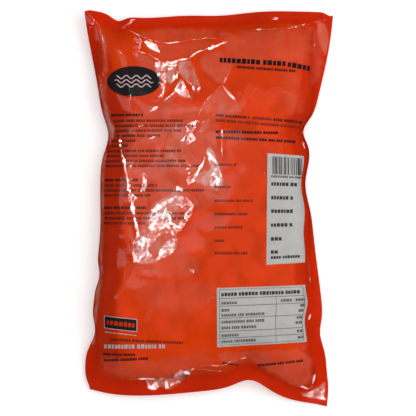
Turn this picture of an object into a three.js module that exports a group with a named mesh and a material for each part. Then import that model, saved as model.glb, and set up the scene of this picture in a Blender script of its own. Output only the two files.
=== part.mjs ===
// A sealed pillow pouch of frozen peeled prawns, lying on its printed front with the back panel up.
// One closed solid: a domed front side, a back side flattened where it rests, and a thin welded band all round.
// Millimetres, +X to the right of the panel, +Y towards the top seal, +Z up. The origin is under the middle of the pouch.
import * as THREE from 'three';

// ---- Driving dimensions ----
const TOP_SEAL = 10;          // width of each welded band
const BOTTOM_SEAL = 13;
const SIDE_SEAL = 8;
const LEAST_SEAL = 2;         // how narrow a side band looks from above where it hangs most steeply
const SEAL_THICKNESS = 1.2;
const SEAL_DROOP = 0.45;      // fall of an end band for each millimetre outwards
const RIM_HEIGHT = 17;        // of the welded band above the surface the pouch lies on
const LEAST_RIM_HEIGHT = 3;
const FILL_HEIGHT = 26;       // of the filled front above the band, before its crown and heaps
const LEFT_ROLL = 26;         // distance over which the film climbs from each band to the full height
const RIGHT_ROLL = 12;
const TOP_ROLL = 90;
const BOTTOM_ROLL = 45;
const ROLL_FULLNESS = 3;      // the film leaves the band this many times steeper than a straight ramp
const BELLY_SINK = 3;         // how far the underside would sag below the surface if nothing held it up
const FIELD_MIDDLE_Y = -8;    // the field that the prawns show in, an ellipse
const FIELD_HALF_WIDTH = 84;
const FIELD_HALF_LENGTH = 138;
const PRAWN_COUNT = 46;
const PRAWN_HALF_LENGTH = 18; // of the mound that a curled prawn makes under the film
const PRAWN_HALF_WIDTH = 10;
const PRAWN_RELIEF = 2.6;

// ---- Mesh fineness ----
const COLUMNS = 38;
const ROWS = 52;
const SEAL_CELLS = 2;         // cells across each welded band
const GATHERING = 0.6;        // 0 spaces the cells evenly, 1 gathers them most towards the bands
const SETTLING_ROUNDS = 6;

// The four edges in plan, each a straight line with waves on it: the film buckles in beside the filling,
// and dents where it is pinched. at, reach and shift are millimetres; slope is the rise over 100 mm.
const LEFT_EDGE = {
  base: -105.5,
  slope: -1,
  waves: [
    { name: 'upper taper', at: 71, reach: 74, shift: 16 },
    { name: 'waist pinch', at: 61, reach: 16, shift: 5.5 },
    { name: 'belly pull', at: -28, reach: 53, shift: 11 },
    { name: 'dent above the lower belly', at: -57, reach: 10, shift: 3.5 },
    { name: 'lower belly', at: -79, reach: 19, shift: 3.5 },
    { name: 'lower pinch', at: -105, reach: 14, shift: 7 },
    { name: 'round corner', at: -154, reach: 9, shift: 4 },
  ],
};
const RIGHT_EDGE = {
  base: 104,
  slope: 2,
  waves: [
    { name: 'upper taper', at: 77, reach: 56, shift: -7.5 },
    { name: 'waist pinch', at: 65, reach: 12, shift: -7.5 },
    { name: 'second pinch', at: 19, reach: 19, shift: -4.5 },
    { name: 'belly pull', at: 5, reach: 90, shift: -15.5 },
    { name: 'lower pinch', at: -106, reach: 13, shift: -4 },
    { name: 'flared foot', at: -152, reach: 14, shift: 1.5 },
  ],
};
const TOP_EDGE = {
  base: 167.5,
  slope: -2,
  waves: [
    { name: 'folded corner', at: -76, reach: 7, shift: -4.5 },
    { name: 'left droop', at: -56, reach: 43, shift: -8 },
    { name: 'middle droop', at: 9, reach: 29, shift: -4 },
    { name: 'round corner', at: 104, reach: 5, shift: -3 },
    { name: 'blunt corner', at: -106, reach: 4, shift: -2.5 },
  ],
};
const BOTTOM_EDGE = {
  base: -162,
  slope: -4.5,
  waves: [
    { name: 'notch', at: 36, reach: 15, shift: 6 },
    { name: 'notch flanks', at: 39, reach: 26, shift: 7 },
    { name: 'middle lift', at: 11, reach: 48, shift: 7.5 },
    { name: 'left lift', at: -114, reach: 24, shift: 6 },
    { name: 'drooping corner', at: 101, reach: 7, shift: -1.5 },
  ],
};

// Where the side bands meet the filled part. Between it and the outline a band looks narrow where it hangs down.
const LEFT_WELD = { base: -93, slope: 0, waves: [] };
const RIGHT_WELD = {
  base: 84.5,
  slope: 0,
  waves: [
    { name: 'upper spread', at: 135, reach: 48, shift: 6 },
    { name: 'lower spread', at: -165, reach: 60, shift: 6 },
  ],
};

// How far the welded band stands above or below its usual height, around the pouch.
const RIM_WAVES = [
  { name: 'lifted top left corner', x: -104, y: 164, reach: 26, lift: 8 },
  { name: 'dent beside it', x: -77, y: 162, reach: 12, lift: -6 },
  { name: 'top middle', x: 0, y: 162, reach: 60, lift: -6 },
  { name: 'top right corner', x: 104, y: 160, reach: 30, lift: -7 },
  { name: 'left waist', x: -86, y: 61, reach: 20, lift: -5 },
  { name: 'right waist', x: 81, y: 64, reach: 18, lift: -6 },
  { name: 'left lower side', x: -97, y: -84, reach: 26, lift: 4 },
  { name: 'bottom left corner', x: -100, y: -150, reach: 34, lift: -8 },
  { name: 'bottom notch', x: 35, y: -146, reach: 17, lift: 7 },
  { name: 'bottom right corner', x: 98, y: -162, reach: 34, lift: -12 },
];

// Broad folds and hollows of the filled front, as heights over their own reach.
const FRONT_WAVES = [
  { name: 'crown', x: 20, y: -8, reachX: 74, reachY: 112, lift: 8 },
  { name: 'hollow across the waist', x: -20, y: 62, reachX: 90, reachY: 14, lift: -3 },
  { name: 'upper heap', x: 38, y: 98, reachX: 40, reachY: 32, lift: 4 },
  { name: 'slack film by the top', x: -36, y: 134, reachX: 34, reachY: 10, lift: -3 },
  { name: 'lower right heap', x: 46, y: -98, reachX: 42, reachY: 34, lift: 3 },
  { name: 'lower left heap', x: -50, y: -70, reachX: 38, reachY: 50, lift: 3 },
];

const mix = (a, b, share) => a + (b - a) * share;
const bell = (distance, reach) => Math.exp(-((distance / reach) ** 2));

// Where an edge lies at a place along it.
function edgeAt(edge, along) {
  const line = edge.base + (edge.slope * along) / 100;
  return edge.waves.reduce((sum, wave) => sum + wave.shift * bell(along - wave.at, wave.reach), line);
}

// How wide the side bands look from above at a place along them.
function sideBands(y) {
  return {
    left: Math.max(edgeAt(LEFT_WELD, y) - edgeAt(LEFT_EDGE, y), LEAST_SEAL),
    right: Math.max(edgeAt(RIGHT_EDGE, y) - edgeAt(RIGHT_WELD, y), LEAST_SEAL),
  };
}

// How far a place in plan lies inside the band of each side; negative is on the band.
function insets(x, y) {
  const bands = sideBands(y);
  return {
    left: x - edgeAt(LEFT_EDGE, y) - bands.left,
    right: edgeAt(RIGHT_EDGE, y) - bands.right - x,
    top: edgeAt(TOP_EDGE, x) - TOP_SEAL - y,
    bottom: y - edgeAt(BOTTOM_EDGE, x) - BOTTOM_SEAL,
  };
}

// How far the band hangs below its inner edge: an end band evenly, and a side band by so much
// that it keeps its own width, of which only part is seen from above.
function bandHang(x, y) {
  const inset = insets(x, y);
  const bands = sideBands(y);
  const sideHang = (side) => {
    const seen = bands[side];
    const whole = Math.sqrt(Math.max(SIDE_SEAL ** 2 - seen ** 2, (SEAL_DROOP * seen) ** 2));
    return whole * Math.min(Math.max(-inset[side] / seen, 0), 1);
  };
  return Math.max(-SEAL_DROOP * Math.min(inset.top, inset.bottom), sideHang('left'), sideHang('right'), 0);
}

// The share of the full height, from 0 on the band to 1 past the roll: steep first, then levelling off.
function roll(distance, reach) {
  const toGo = 1 - Math.min(Math.max(distance / reach, 0), 1);
  return 1 - toGo ** ROLL_FULLNESS;
}

// A place between two edges: even cells over each welded band, and cells that gather
// towards the bands over the filled part, where the film is steepest.
function placeBetween(index, count, low, high, lowSeal, highSeal) {
  if (index <= SEAL_CELLS) return low + (lowSeal * index) / SEAL_CELLS;
  if (index >= count - SEAL_CELLS) return high - (highSeal * (count - index)) / SEAL_CELLS;
  const even = (index - SEAL_CELLS) / (count - 2 * SEAL_CELLS);
  const gathered = (1 - Math.cos(Math.PI * even)) / 2;
  return mix(low + lowSeal, high - highSeal, mix(even, gathered, GATHERING));
}

// A grid point in plan. Its x depends on its y and the other way round, so the pair is settled in rounds.
function planPoint(column, row) {
  let x = mix(LEFT_EDGE.base, RIGHT_EDGE.base, column / COLUMNS);
  let y = 0;
  for (let round = 0; round < SETTLING_ROUNDS; round++) {
    y = placeBetween(row, ROWS, edgeAt(BOTTOM_EDGE, x), edgeAt(TOP_EDGE, x), BOTTOM_SEAL, TOP_SEAL);
    const bands = sideBands(y);
    x = placeBetween(column, COLUMNS, edgeAt(LEFT_EDGE, y), edgeAt(RIGHT_EDGE, y), bands.left, bands.right);
  }
  return { x, y };
}

// Height of the welded band's middle, carried smoothly over the whole plan.
function rimHeight(x, y) {
  const waves = RIM_WAVES.reduce(
    (sum, wave) => sum + wave.lift * bell(Math.hypot(x - wave.x, y - wave.y), wave.reach),
    RIM_HEIGHT,
  );
  return Math.max(waves - bandHang(x, y), LEAST_RIM_HEIGHT);
}

// 0 on the band and 1 well inside the filling.
function fullness(x, y) {
  const inset = insets(x, y);
  const sides = roll(inset.left, LEFT_ROLL) * roll(inset.right, RIGHT_ROLL);
  return sides * roll(inset.top, TOP_ROLL) * roll(inset.bottom, BOTTOM_ROLL);
}

// The prawns' places are the points of a sunflower spiral stretched over the field, so that they lie evenly.
// Each is turned on from the last by an angle that doesn't repeat, so that no two lie alike.
const GOLDEN_ANGLE = Math.PI * (3 - Math.sqrt(5));
const PRAWN_TURN = 1.7 * GOLDEN_ANGLE;
const PRAWNS = Array.from({ length: PRAWN_COUNT }, (_, i) => {
  const outward = Math.sqrt((i + 0.5) / PRAWN_COUNT);
  return {
    x: FIELD_HALF_WIDTH * outward * Math.cos(i * GOLDEN_ANGLE),
    y: FIELD_MIDDLE_Y + FIELD_HALF_LENGTH * outward * Math.sin(i * GOLDEN_ANGLE),
    turn: i * PRAWN_TURN,
  };
});

// Relief of the prawns under the front film: each is an oval mound, and the highest mound shows.
function prawnRelief(x, y) {
  return PRAWNS.reduce((most, prawn) => {
    const along = (x - prawn.x) * Math.cos(prawn.turn) + (y - prawn.y) * Math.sin(prawn.turn);
    const across = (y - prawn.y) * Math.cos(prawn.turn) - (x - prawn.x) * Math.sin(prawn.turn);
    return Math.max(most, bell(Math.hypot(along / PRAWN_HALF_LENGTH, across / PRAWN_HALF_WIDTH), 1));
  }, 0) * PRAWN_RELIEF;
}

function frontHeight(x, y) {
  const full = fullness(x, y);
  const waves = FRONT_WAVES.reduce(
    (sum, wave) => sum + wave.lift * bell(Math.hypot((x - wave.x) / wave.reachX, (y - wave.y) / wave.reachY), 1),
    0,
  );
  return rimHeight(x, y) + SEAL_THICKNESS / 2 + full * (FILL_HEIGHT + waves + prawnRelief(x, y));
}

// The underside sags from the band and goes flat where it meets the surface.
function backHeight(x, y) {
  const rim = rimHeight(x, y);
  return Math.max(rim - SEAL_THICKNESS / 2 - (rim + BELLY_SINK) * fullness(x, y), 0);
}

// The front and the back are one grid each, sewn together round the outline.
function pouchGeometry() {
  const across = COLUMNS + 1;
  const sideCount = across * (ROWS + 1);
  const positions = new Float32Array(sideCount * 2 * 3);
  const faces = [];
  const vertex = (side, column, row) => side * sideCount + row * across + column;

  for (let row = 0; row <= ROWS; row++) {
    for (let column = 0; column <= COLUMNS; column++) {
      const { x, y } = planPoint(column, row);
      positions.set([x, y, frontHeight(x, y)], vertex(0, column, row) * 3);
      positions.set([x, y, backHeight(x, y)], vertex(1, column, row) * 3);
    }
  }

  for (let row = 0; row < ROWS; row++) {
    for (let column = 0; column < COLUMNS; column++) {
      for (const side of [0, 1]) {
        const a = vertex(side, column, row);
        const b = vertex(side, column + 1, row);
        const c = vertex(side, column + 1, row + 1);
        const d = vertex(side, column, row + 1);
        if (side === 0) faces.push(a, b, c, a, c, d);
        else faces.push(a, c, b, a, d, c);
      }
    }
  }

  // Round the outline anticlockwise, seen from above.
  const outline = [];
  for (let column = 0; column < COLUMNS; column++) outline.push([column, 0]);
  for (let row = 0; row < ROWS; row++) outline.push([COLUMNS, row]);
  for (let column = COLUMNS; column > 0; column--) outline.push([column, ROWS]);
  for (let row = ROWS; row > 0; row--) outline.push([0, row]);
  outline.forEach(([column, row], i) => {
    const [nextColumn, nextRow] = outline[(i + 1) % outline.length];
    const front = vertex(0, column, row);
    const frontNext = vertex(0, nextColumn, nextRow);
    const back = vertex(1, column, row);
    const backNext = vertex(1, nextColumn, nextRow);
    faces.push(back, backNext, frontNext, back, frontNext, front);
  });

  const geometry = new THREE.BufferGeometry();
  geometry.setAttribute('position', new THREE.BufferAttribute(positions, 3));
  geometry.setIndex(faces);
  geometry.computeBoundingBox();
  const middle = geometry.boundingBox.getCenter(new THREE.Vector3());
  geometry.translate(-middle.x, -middle.y, 0);
  geometry.computeVertexNormals();
  return geometry;
}

const film = new THREE.MeshStandardMaterial({ color: 0xcf3f1c, roughness: 0.25, metalness: 0 });
const pouch = new THREE.Mesh(pouchGeometry(), film);
pouch.name = 'pouch';

const pack = new THREE.Group();
pack.name = 'frozen_prawn_pouch';
pack.add(pouch);

export default pack;
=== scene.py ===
"""A sealed pillow pouch of frozen peeled prawns, lying with its back panel up.

The pouch is one glossy orange-red film, welded all round, draped over the frozen prawns inside it. Its print
is thin ink that follows the film: rows of small plain blocks, a pale strip with bars, a ruled table, a plain
badge and a small plain sign. Plan sizes are millimetres, +X to the right of the panel and +Y
towards the top seal, and become metres in the meshes.
"""

import logging
import math
from dataclasses import dataclass
from enum import Enum

import bpy
import numpy as np
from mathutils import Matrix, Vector


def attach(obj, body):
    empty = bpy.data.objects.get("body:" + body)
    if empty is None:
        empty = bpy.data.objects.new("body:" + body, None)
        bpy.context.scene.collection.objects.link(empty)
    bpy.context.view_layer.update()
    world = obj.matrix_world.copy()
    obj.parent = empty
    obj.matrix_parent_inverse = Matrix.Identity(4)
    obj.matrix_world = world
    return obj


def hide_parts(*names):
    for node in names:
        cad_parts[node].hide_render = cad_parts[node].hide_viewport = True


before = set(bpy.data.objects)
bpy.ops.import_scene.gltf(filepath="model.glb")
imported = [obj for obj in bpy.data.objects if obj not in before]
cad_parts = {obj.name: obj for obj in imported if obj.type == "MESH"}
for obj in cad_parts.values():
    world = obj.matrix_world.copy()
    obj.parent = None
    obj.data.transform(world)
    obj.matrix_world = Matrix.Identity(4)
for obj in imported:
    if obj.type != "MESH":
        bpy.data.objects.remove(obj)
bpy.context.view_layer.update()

MM = 0.001
VIEWER_HEIGHT = 3.0
FILM_TOP = 0.045
Array = np.ndarray
Point = tuple[float, float]
Colour = tuple[float, float, float]
Pair = tuple[Array, Array]
Socket = bpy.types.NodeSocket
Piece = bpy.types.Object

log = logging.getLogger("pouch")


# ---- Plain numerical helpers ----


def bell(distance: Array, reach: float) -> Array:
    """A smooth hump: e to the power of minus (distance over reach) squared."""
    return np.exp(-((distance / reach) ** 2))


def smooth_step(value: Array, low: float, high: float) -> Array:
    """0 below low, 1 above high, and 3t^2 - 2t^3 of the share t in between."""
    share = np.clip((value - low) / (high - low), 0.0, 1.0)
    return share * share * (3.0 - 2.0 * share)


def blurred(values: Array, reach: float) -> Array:
    """A raster blurred by a Gaussian of that standard deviation, first along one axis and then the other.

    Args:
        values: the raster, rows by columns.
        reach: the standard deviation, in cells.

    Returns:
        The blurred raster, of the same shape. Its edges are carried outwards before the blur.
    """
    half = max(1, int(math.ceil(3.0 * reach)))
    kernel = np.exp(-0.5 * (np.arange(-half, half + 1) / reach) ** 2)
    kernel /= kernel.sum()
    for axis in (0, 1):
        padded = np.pad(values, [(half, half) if a == axis else (0, 0) for a in (0, 1)], mode="edge")
        total = np.zeros_like(values)
        for step, weight in enumerate(kernel):
            window = [slice(None), slice(None)]
            window[axis] = slice(step, step + values.shape[axis])
            total += weight * padded[tuple(window)]
        values = total
    return values


class Noise:
    """Smooth gradient noise over the plan, repeatable from its seed.

    Each whole-number corner of the lattice holds a slope in a random direction; between corners the four
    planes are blended with the weights 6t^5 - 15t^4 + 10t^3.
    """

    LATTICE = 256

    def __init__(self, seed: int) -> None:
        """Draws the lattice's directions.

        Args:
            seed: the number that the directions are drawn from.
        """
        turns = np.random.default_rng(seed).random((self.LATTICE, self.LATTICE)) * 2.0 * np.pi
        self.slope_x = np.cos(turns)
        self.slope_y = np.sin(turns)

    def at(self, x: Array, y: Array) -> Array:
        """The noise at places in plan.

        Args:
            x: places in lattice cells.
            y: places in lattice cells.

        Returns:
            The noise, about -0.7 to 0.7.
        """
        cell_x = np.floor(x).astype(int)
        cell_y = np.floor(y).astype(int)
        in_x = x - cell_x
        in_y = y - cell_y
        weight_x = in_x**3 * (in_x * (in_x * 6.0 - 15.0) + 10.0)
        weight_y = in_y**3 * (in_y * (in_y * 6.0 - 15.0) + 10.0)
        corner = {}
        for right in (0, 1):
            for up in (0, 1):
                i = (cell_x + right) % self.LATTICE
                j = (cell_y + up) % self.LATTICE
                corner[right, up] = self.slope_x[i, j] * (in_x - right) + self.slope_y[i, j] * (in_y - up)
        low = corner[0, 0] * (1.0 - weight_x) + corner[1, 0] * weight_x
        high = corner[0, 1] * (1.0 - weight_x) + corner[1, 1] * weight_x
        return low * (1.0 - weight_y) + high * weight_y


def nearest_point(points: Array, x: Array, y: Array) -> tuple[Array, Array, Array]:
    """Finds the nearest scattered point to each place, among the nine cells round it.

    Args:
        points: a square lattice with one point in each cell, as shares of the cell along x and y.
        x: places in lattice cells.
        y: places in lattice cells.

    Returns:
        The squared distance to the point, its place and its cell, the last two with an axis of two.
    """
    cell = np.stack([np.floor(x), np.floor(y)], axis=-1).astype(int)
    least = np.full(x.shape, np.inf)
    place = np.zeros(cell.shape)
    owner = np.zeros_like(cell)
    for right, up in np.ndindex(3, 3):
        here = cell + np.array([right - 1, up - 1])
        wrapped = here % len(points)
        spot = points[wrapped[..., 0], wrapped[..., 1]] + here
        away = (spot[..., 0] - x) ** 2 + (spot[..., 1] - y) ** 2
        closer = away < least
        least = np.where(closer, away, least)
        place = np.where(closer[..., None], spot, place)
        owner = np.where(closer[..., None], wrapped, owner)
    return least, place, owner


class Facets:
    """Crumpled film: flat facets that meet in sharp ridges and valleys, repeatable from its seed.

    Two sets of points are scattered, one in each cell of a lattice. The relief is the squared distance to the
    nearest point of the one set less that to the nearest of the other. Within the reach of one pair of
    points that is a plane, whose slope is twice the vector between them, and it is unbroken everywhere.
    """

    LATTICE = 128
    USUAL_SLOPE = 1.05

    def __init__(self, seed: int) -> None:
        """Scatters the two sets by the seed."""
        self.first, self.second = np.random.default_rng(seed).random((2, self.LATTICE, self.LATTICE, 2))

    def at(self, x: Array, y: Array) -> Array:
        """The relief at places given in lattice cells, with a usual slope of about one."""
        return (nearest_point(self.first, x, y)[0] - nearest_point(self.second, x, y)[0]) / self.USUAL_SLOPE


class Shards:
    """A plan broken into small pieces: one point in each cell of a lattice, and what lies nearest to it."""

    LATTICE = 64
    STRAY_SHARE = 0.25
    STRAY_LEAN = 2.5

    def __init__(self, seed: int) -> None:
        """Scatters the points and draws two numbers for each, larger ones for the few that stray.

        Args:
            seed: the number that the scatter is drawn from.
        """
        draws = np.random.default_rng(seed)
        self.points = draws.random((self.LATTICE, self.LATTICE, 2))
        self.leans = draws.normal(size=(self.LATTICE, self.LATTICE, 2))
        stray = draws.random((self.LATTICE, self.LATTICE, 1)) < self.STRAY_SHARE
        self.leans *= np.where(stray, self.STRAY_LEAN, 1.0)

    def nearest(self, x: Array, y: Array) -> Pair:
        """The nearest point to each place given in lattice cells, and its two numbers."""
        _, place, cell = nearest_point(self.points, x, y)
        return place, self.leans[cell[..., 0], cell[..., 1]]


def mixed(raster: Array, row: Array, column: Array) -> Array:
    """A raster's values between its cells, by mixing the four round each place.

    Args:
        raster: the values, rows by columns.
        row: where along the rows, in cells and parts of one.
        column: where along the columns.

    Returns:
        The mixed value at each place.
    """
    row = np.clip(row, 0, raster.shape[0] - 1.001)
    column = np.clip(column, 0, raster.shape[1] - 1.001)
    i = row.astype(int)
    j = column.astype(int)
    up = row - i
    right = column - j
    low = raster[i, j] * (1 - right) + raster[i, j + 1] * right
    high = raster[i + 1, j] * (1 - right) + raster[i + 1, j + 1] * right
    return low * (1 - up) + high * up


def line_places(points: Array, x: Array, y: Array) -> tuple[Array, Array, float]:
    """How far places lie from a bent line, and how far along it.

    Args:
        points: the line's corners, one row each.
        x: places in plan.
        y: places in plan.

    Returns:
        The distance to the line, the run along it to the nearest place on it, and its whole length.
    """
    away = np.full(x.shape, np.inf)
    place = np.zeros(x.shape)
    run = 0.0
    for start, end in zip(points[:-1], points[1:]):
        step = end - start
        length = float(np.hypot(*step))
        share = np.clip(((x - start[0]) * step[0] + (y - start[1]) * step[1]) / length**2, 0.0, 1.0)
        distance = np.hypot(x - start[0] - share * step[0], y - start[1] - share * step[1])
        closer = distance < away
        away = np.where(closer, distance, away)
        place = np.where(closer, run + share * length, place)
        run += length
    return away, place, run


def depth_inside(points: Array, x: Array, y: Array) -> Array:
    """How far places lie inside a closed outline.

    A place is inside where a ray from it to the right crosses the outline an odd number of times.

    Args:
        points: the outline's corners, one row each.
        x: places in plan.
        y: places in plan.

    Returns:
        The distance to the outline, negative outside.
    """
    closed = np.vstack([points, points[:1]])
    away = line_places(closed, x, y)[0]
    inside = np.zeros(x.shape, dtype=bool)
    for (x0, y0), (x1, y1) in zip(closed[:-1], closed[1:]):
        if y0 != y1:
            crosses = ((y0 > y) != (y1 > y)) & (x < x0 + (y - y0) * (x1 - x0) / (y1 - y0))
            inside ^= crosses
    return np.where(inside, away, -away)


def path(*numbers: float) -> tuple[Point, ...]:
    """Places in plan from plain numbers, x and y by turns."""
    return tuple(zip(numbers[::2], numbers[1::2]))


# ---- The pouch's plan and its filled form, the same as the solid's ----


@dataclass(frozen=True)
class Wave:
    """A bell-shaped swing of an edge, at a place along it."""

    name: str
    at: float
    reach: float
    shift: float


@dataclass(frozen=True)
class Edge:
    """One edge in plan: a straight line, its slope given as the rise over 100 mm, with waves on it."""

    base: float
    slope: float
    waves: tuple[Wave, ...]

    def at(self, along: Array) -> Array:
        """Where the edge lies at places along it: the line plus every wave's shift times its bell."""
        line = self.base + self.slope * along / 100.0
        return sum((wave.shift * bell(along - wave.at, wave.reach) for wave in self.waves), line)


@dataclass(frozen=True)
class Mound:
    """A round or oval swing in height, at a place in plan."""

    name: str
    x: float
    y: float
    reach_x: float
    reach_y: float
    lift: float

    def at(self, x: Array, y: Array) -> Array:
        """The lift times the bell of the distance, measured in the mound's own reaches."""
        return self.lift * bell(np.hypot((x - self.x) / self.reach_x, (y - self.y) / self.reach_y), 1.0)


LEFT_EDGE = Edge(-105.5, -1.0, (
    Wave("upper taper", 71, 74, 16),
    Wave("waist pinch", 61, 16, 5.5),
    Wave("belly pull", -28, 53, 11),
    Wave("dent above the lower belly", -57, 10, 3.5),
    Wave("lower belly", -79, 19, 3.5),
    Wave("lower pinch", -105, 14, 7),
    Wave("round corner", -154, 9, 4),
))
RIGHT_EDGE = Edge(104.0, 2.0, (
    Wave("upper taper", 77, 56, -7.5),
    Wave("waist pinch", 65, 12, -7.5),
    Wave("second pinch", 19, 19, -4.5),
    Wave("belly pull", 5, 90, -15.5),
    Wave("lower pinch", -106, 13, -4),
    Wave("flared foot", -152, 14, 1.5),
))
TOP_EDGE = Edge(167.5, -2.0, (
    Wave("folded corner", -76, 7, -4.5),
    Wave("left droop", -56, 43, -8),
    Wave("middle droop", 9, 29, -4),
    Wave("round corner", 104, 5, -3),
    Wave("blunt corner", -106, 4, -2.5),
))
BOTTOM_EDGE = Edge(-162.0, -4.5, (
    Wave("notch", 36, 15, 6),
    Wave("notch flanks", 39, 26, 7),
    Wave("middle lift", 11, 48, 7.5),
    Wave("left lift", -114, 24, 6),
    Wave("drooping corner", 101, 7, -1.5),
))
LEFT_WELD = Edge(-93.0, 0.0, ())
RIGHT_WELD = Edge(84.5, 0.0, (
    Wave("upper spread", 135, 48, 6),
    Wave("lower spread", -165, 60, 6),
))
RIM_MOUNDS = (
    Mound("lifted top left corner", -104, 164, 26, 26, 8),
    Mound("dent beside it", -77, 162, 12, 12, -6),
    Mound("top middle", 0, 162, 60, 60, -6),
    Mound("top right corner", 104, 160, 30, 30, -7),
    Mound("left waist", -86, 61, 20, 20, -5),
    Mound("right waist", 81, 64, 18, 18, -6),
    Mound("left lower side", -97, -84, 26, 26, 4),
    Mound("bottom left corner", -100, -150, 34, 34, -8),
    Mound("bottom notch", 35, -146, 17, 17, 7),
    Mound("bottom right corner", 98, -162, 34, 34, -12),
)
FRONT_MOUNDS = (
    Mound("crown", 20, -8, 74, 112, 8),
    Mound("hollow across the waist", -20, 62, 90, 14, -3),
    Mound("upper heap", 38, 98, 40, 32, 4),
    Mound("slack film by the top", -36, 134, 34, 10, -3),
    Mound("lower right heap", 46, -98, 42, 34, 3),
    Mound("lower left heap", -50, -70, 38, 50, 3),
)


@dataclass(frozen=True)
class Pillow:
    """The filled pouch without its creases: its outline, its welded band and its domed film."""

    top_seal: float = 10.0
    bottom_seal: float = 13.0
    side_seal: float = 8.0
    least_seal: float = 2.0
    droop: float = 0.45
    rim_height: float = 17.0
    least_rim_height: float = 3.0
    fill_height: float = 26.0
    left_roll: float = 26.0
    right_roll: float = 12.0
    top_roll: float = 90.0
    bottom_roll: float = 45.0
    roll_fullness: float = 3.0
    belly_sink: float = 3.0
    settling_rounds: int = 6

    def centre(self) -> Point:
        """The middle of the outline's box, which is the object's origin in plan."""
        x, y = self.place(*np.meshgrid(np.linspace(0, 1, 400), np.linspace(0, 1, 400)))
        return float(x.min() + x.max()) / 2.0, float(y.min() + y.max()) / 2.0

    def place(self, across: Array, along: Array) -> Pair:
        """Plan places for shares across and along the pouch.

        x is the mix of the side edges at y, and y the mix of the end edges at x, so the pair is settled in
        rounds.

        Args:
            across: 0 on the left edge to 1 on the right one.
            along: 0 on the bottom edge to 1 on the top one.

        Returns:
            The x and y of each place, in millimetres.
        """
        x = LEFT_EDGE.base + (RIGHT_EDGE.base - LEFT_EDGE.base) * across
        y = np.zeros_like(x)
        for _ in range(self.settling_rounds):
            y = BOTTOM_EDGE.at(x) + (TOP_EDGE.at(x) - BOTTOM_EDGE.at(x)) * along
            x = LEFT_EDGE.at(y) + (RIGHT_EDGE.at(y) - LEFT_EDGE.at(y)) * across
        return x, y

    def insets(self, x: Array, y: Array) -> dict[str, Array]:
        """How far places lie inside the welded band.

        Args:
            x: places in plan.
            y: places in plan.

        Returns:
            The distance inwards from each of the band's four sides; negative is on the band.
        """
        return {
            "left": x - LEFT_EDGE.at(y) - self.band("left", y),
            "right": RIGHT_EDGE.at(y) - self.band("right", y) - x,
            "top": TOP_EDGE.at(x) - self.top_seal - y,
            "bottom": y - BOTTOM_EDGE.at(x) - self.bottom_seal,
        }

    def band(self, side: str, y: Array) -> Array:
        """How wide a side's welded band looks from above: out from its weld line, at least the least."""
        wide = LEFT_WELD.at(y) - LEFT_EDGE.at(y) if side == "left" else RIGHT_EDGE.at(y) - RIGHT_WELD.at(y)
        return np.maximum(wide, self.least_seal)

    def hang(self, x: Array, y: Array) -> Array:
        """How far the welded band hangs below its inner edge.

        It falls evenly at the ends. On the sides it falls so far that the band keeps its own width, by the
        root of that width squared less the seen one squared.

        Args:
            x: places in plan.
            y: places in plan.

        Returns:
            The fall in millimetres, 0 inside the band.
        """
        inset = self.insets(x, y)
        fall = self.droop * np.maximum(-np.minimum(inset["top"], inset["bottom"]), 0.0)
        for side in ("left", "right"):
            seen = self.band(side, y)
            whole = np.sqrt(np.maximum(self.side_seal**2 - seen**2, (self.droop * seen) ** 2))
            fall = np.maximum(fall, whole * np.clip(-inset[side] / seen, 0.0, 1.0))
        return fall

    def roll(self, distance: Array, reach: float) -> Array:
        """The share of the full height: one minus the share still to go, to the power of the fullness."""
        to_go = 1.0 - np.clip(distance / reach, 0.0, 1.0)
        return 1.0 - to_go**self.roll_fullness

    def fullness(self, x: Array, y: Array) -> Array:
        """How full the pouch is: the product of the four sides' rolls.

        Args:
            x: places in plan.
            y: places in plan.

        Returns:
            0 on the band to 1 well inside the filling.
        """
        inset = self.insets(x, y)
        ends = self.roll(inset["top"], self.top_roll) * self.roll(inset["bottom"], self.bottom_roll)
        return self.roll(inset["left"], self.left_roll) * self.roll(inset["right"], self.right_roll) * ends

    def rim(self, x: Array, y: Array) -> Array:
        """Height of the welded band's middle, carried smoothly over the whole plan."""
        height = self.rim_height + sum(mound.at(x, y) for mound in RIM_MOUNDS)
        return np.maximum(height - self.hang(x, y), self.least_rim_height)

    def front(self, x: Array, y: Array) -> Array:
        """The upper film's height over the band's: the fullness times the fill height with its mounds."""
        return self.fullness(x, y) * (self.fill_height + sum(mound.at(x, y) for mound in FRONT_MOUNDS))

    def back(self, x: Array, y: Array) -> Array:
        """The under film's height: it sags from the band and is flat where it meets the surface."""
        rim = self.rim(x, y)
        return np.maximum(rim - (rim + self.belly_sink) * self.fullness(x, y), 0.0)


# ---- The upper film: draped over the prawns, creased and crumpled ----


class Lamp(Enum):
    """The small strong lamps, by their places in metres from the pouch's middle."""

    LEFT = (-0.80, 0.0, 1.5)
    CORNER = (-0.565, 0.565, 1.5)
    TOP = (0.0, 0.80, 1.5)
    RIGHT = (0.52, 0.61, 1.5)

    def facing(self, x: Array, y: Array) -> Pair:
        """Slopes of a flat bit of film that throws this lamp's light straight up to a viewer overhead.

        Its normal lies half way between the directions to the lamp and to the viewer.

        Args:
            x: places in plan, in millimetres from the middle.
            y: places in plan, in millimetres from the middle.

        Returns:
            The rise per millimetre along x and along y.
        """
        halfway = np.zeros((3,) + np.shape(x))
        for far in (self.value, (0.0, 0.0, VIEWER_HEIGHT)):
            reach = np.array([far[0] - x * MM, far[1] - y * MM, far[2] - FILM_TOP + 0.0 * x])
            halfway += reach / np.sqrt((reach**2).sum(0))
        return -halfway[0] / halfway[2], -halfway[1] / halfway[2]


@dataclass(frozen=True)
class Crease:
    """A sharp fold along a bent line: a narrow strip of flat bits that face a lamp, on a low ridge.

    The lean is how far the bits' slopes stray from the lamp's, and bit_length how long each is.
    """

    name: str
    lamp: Lamp
    width: float
    lean: float
    ridge: float
    points: tuple[Point, ...]
    bit_length: float = 3.5
    waver: float = 0.5
    ridge_width: float = 4.0
    fade: float = 6.0


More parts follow.
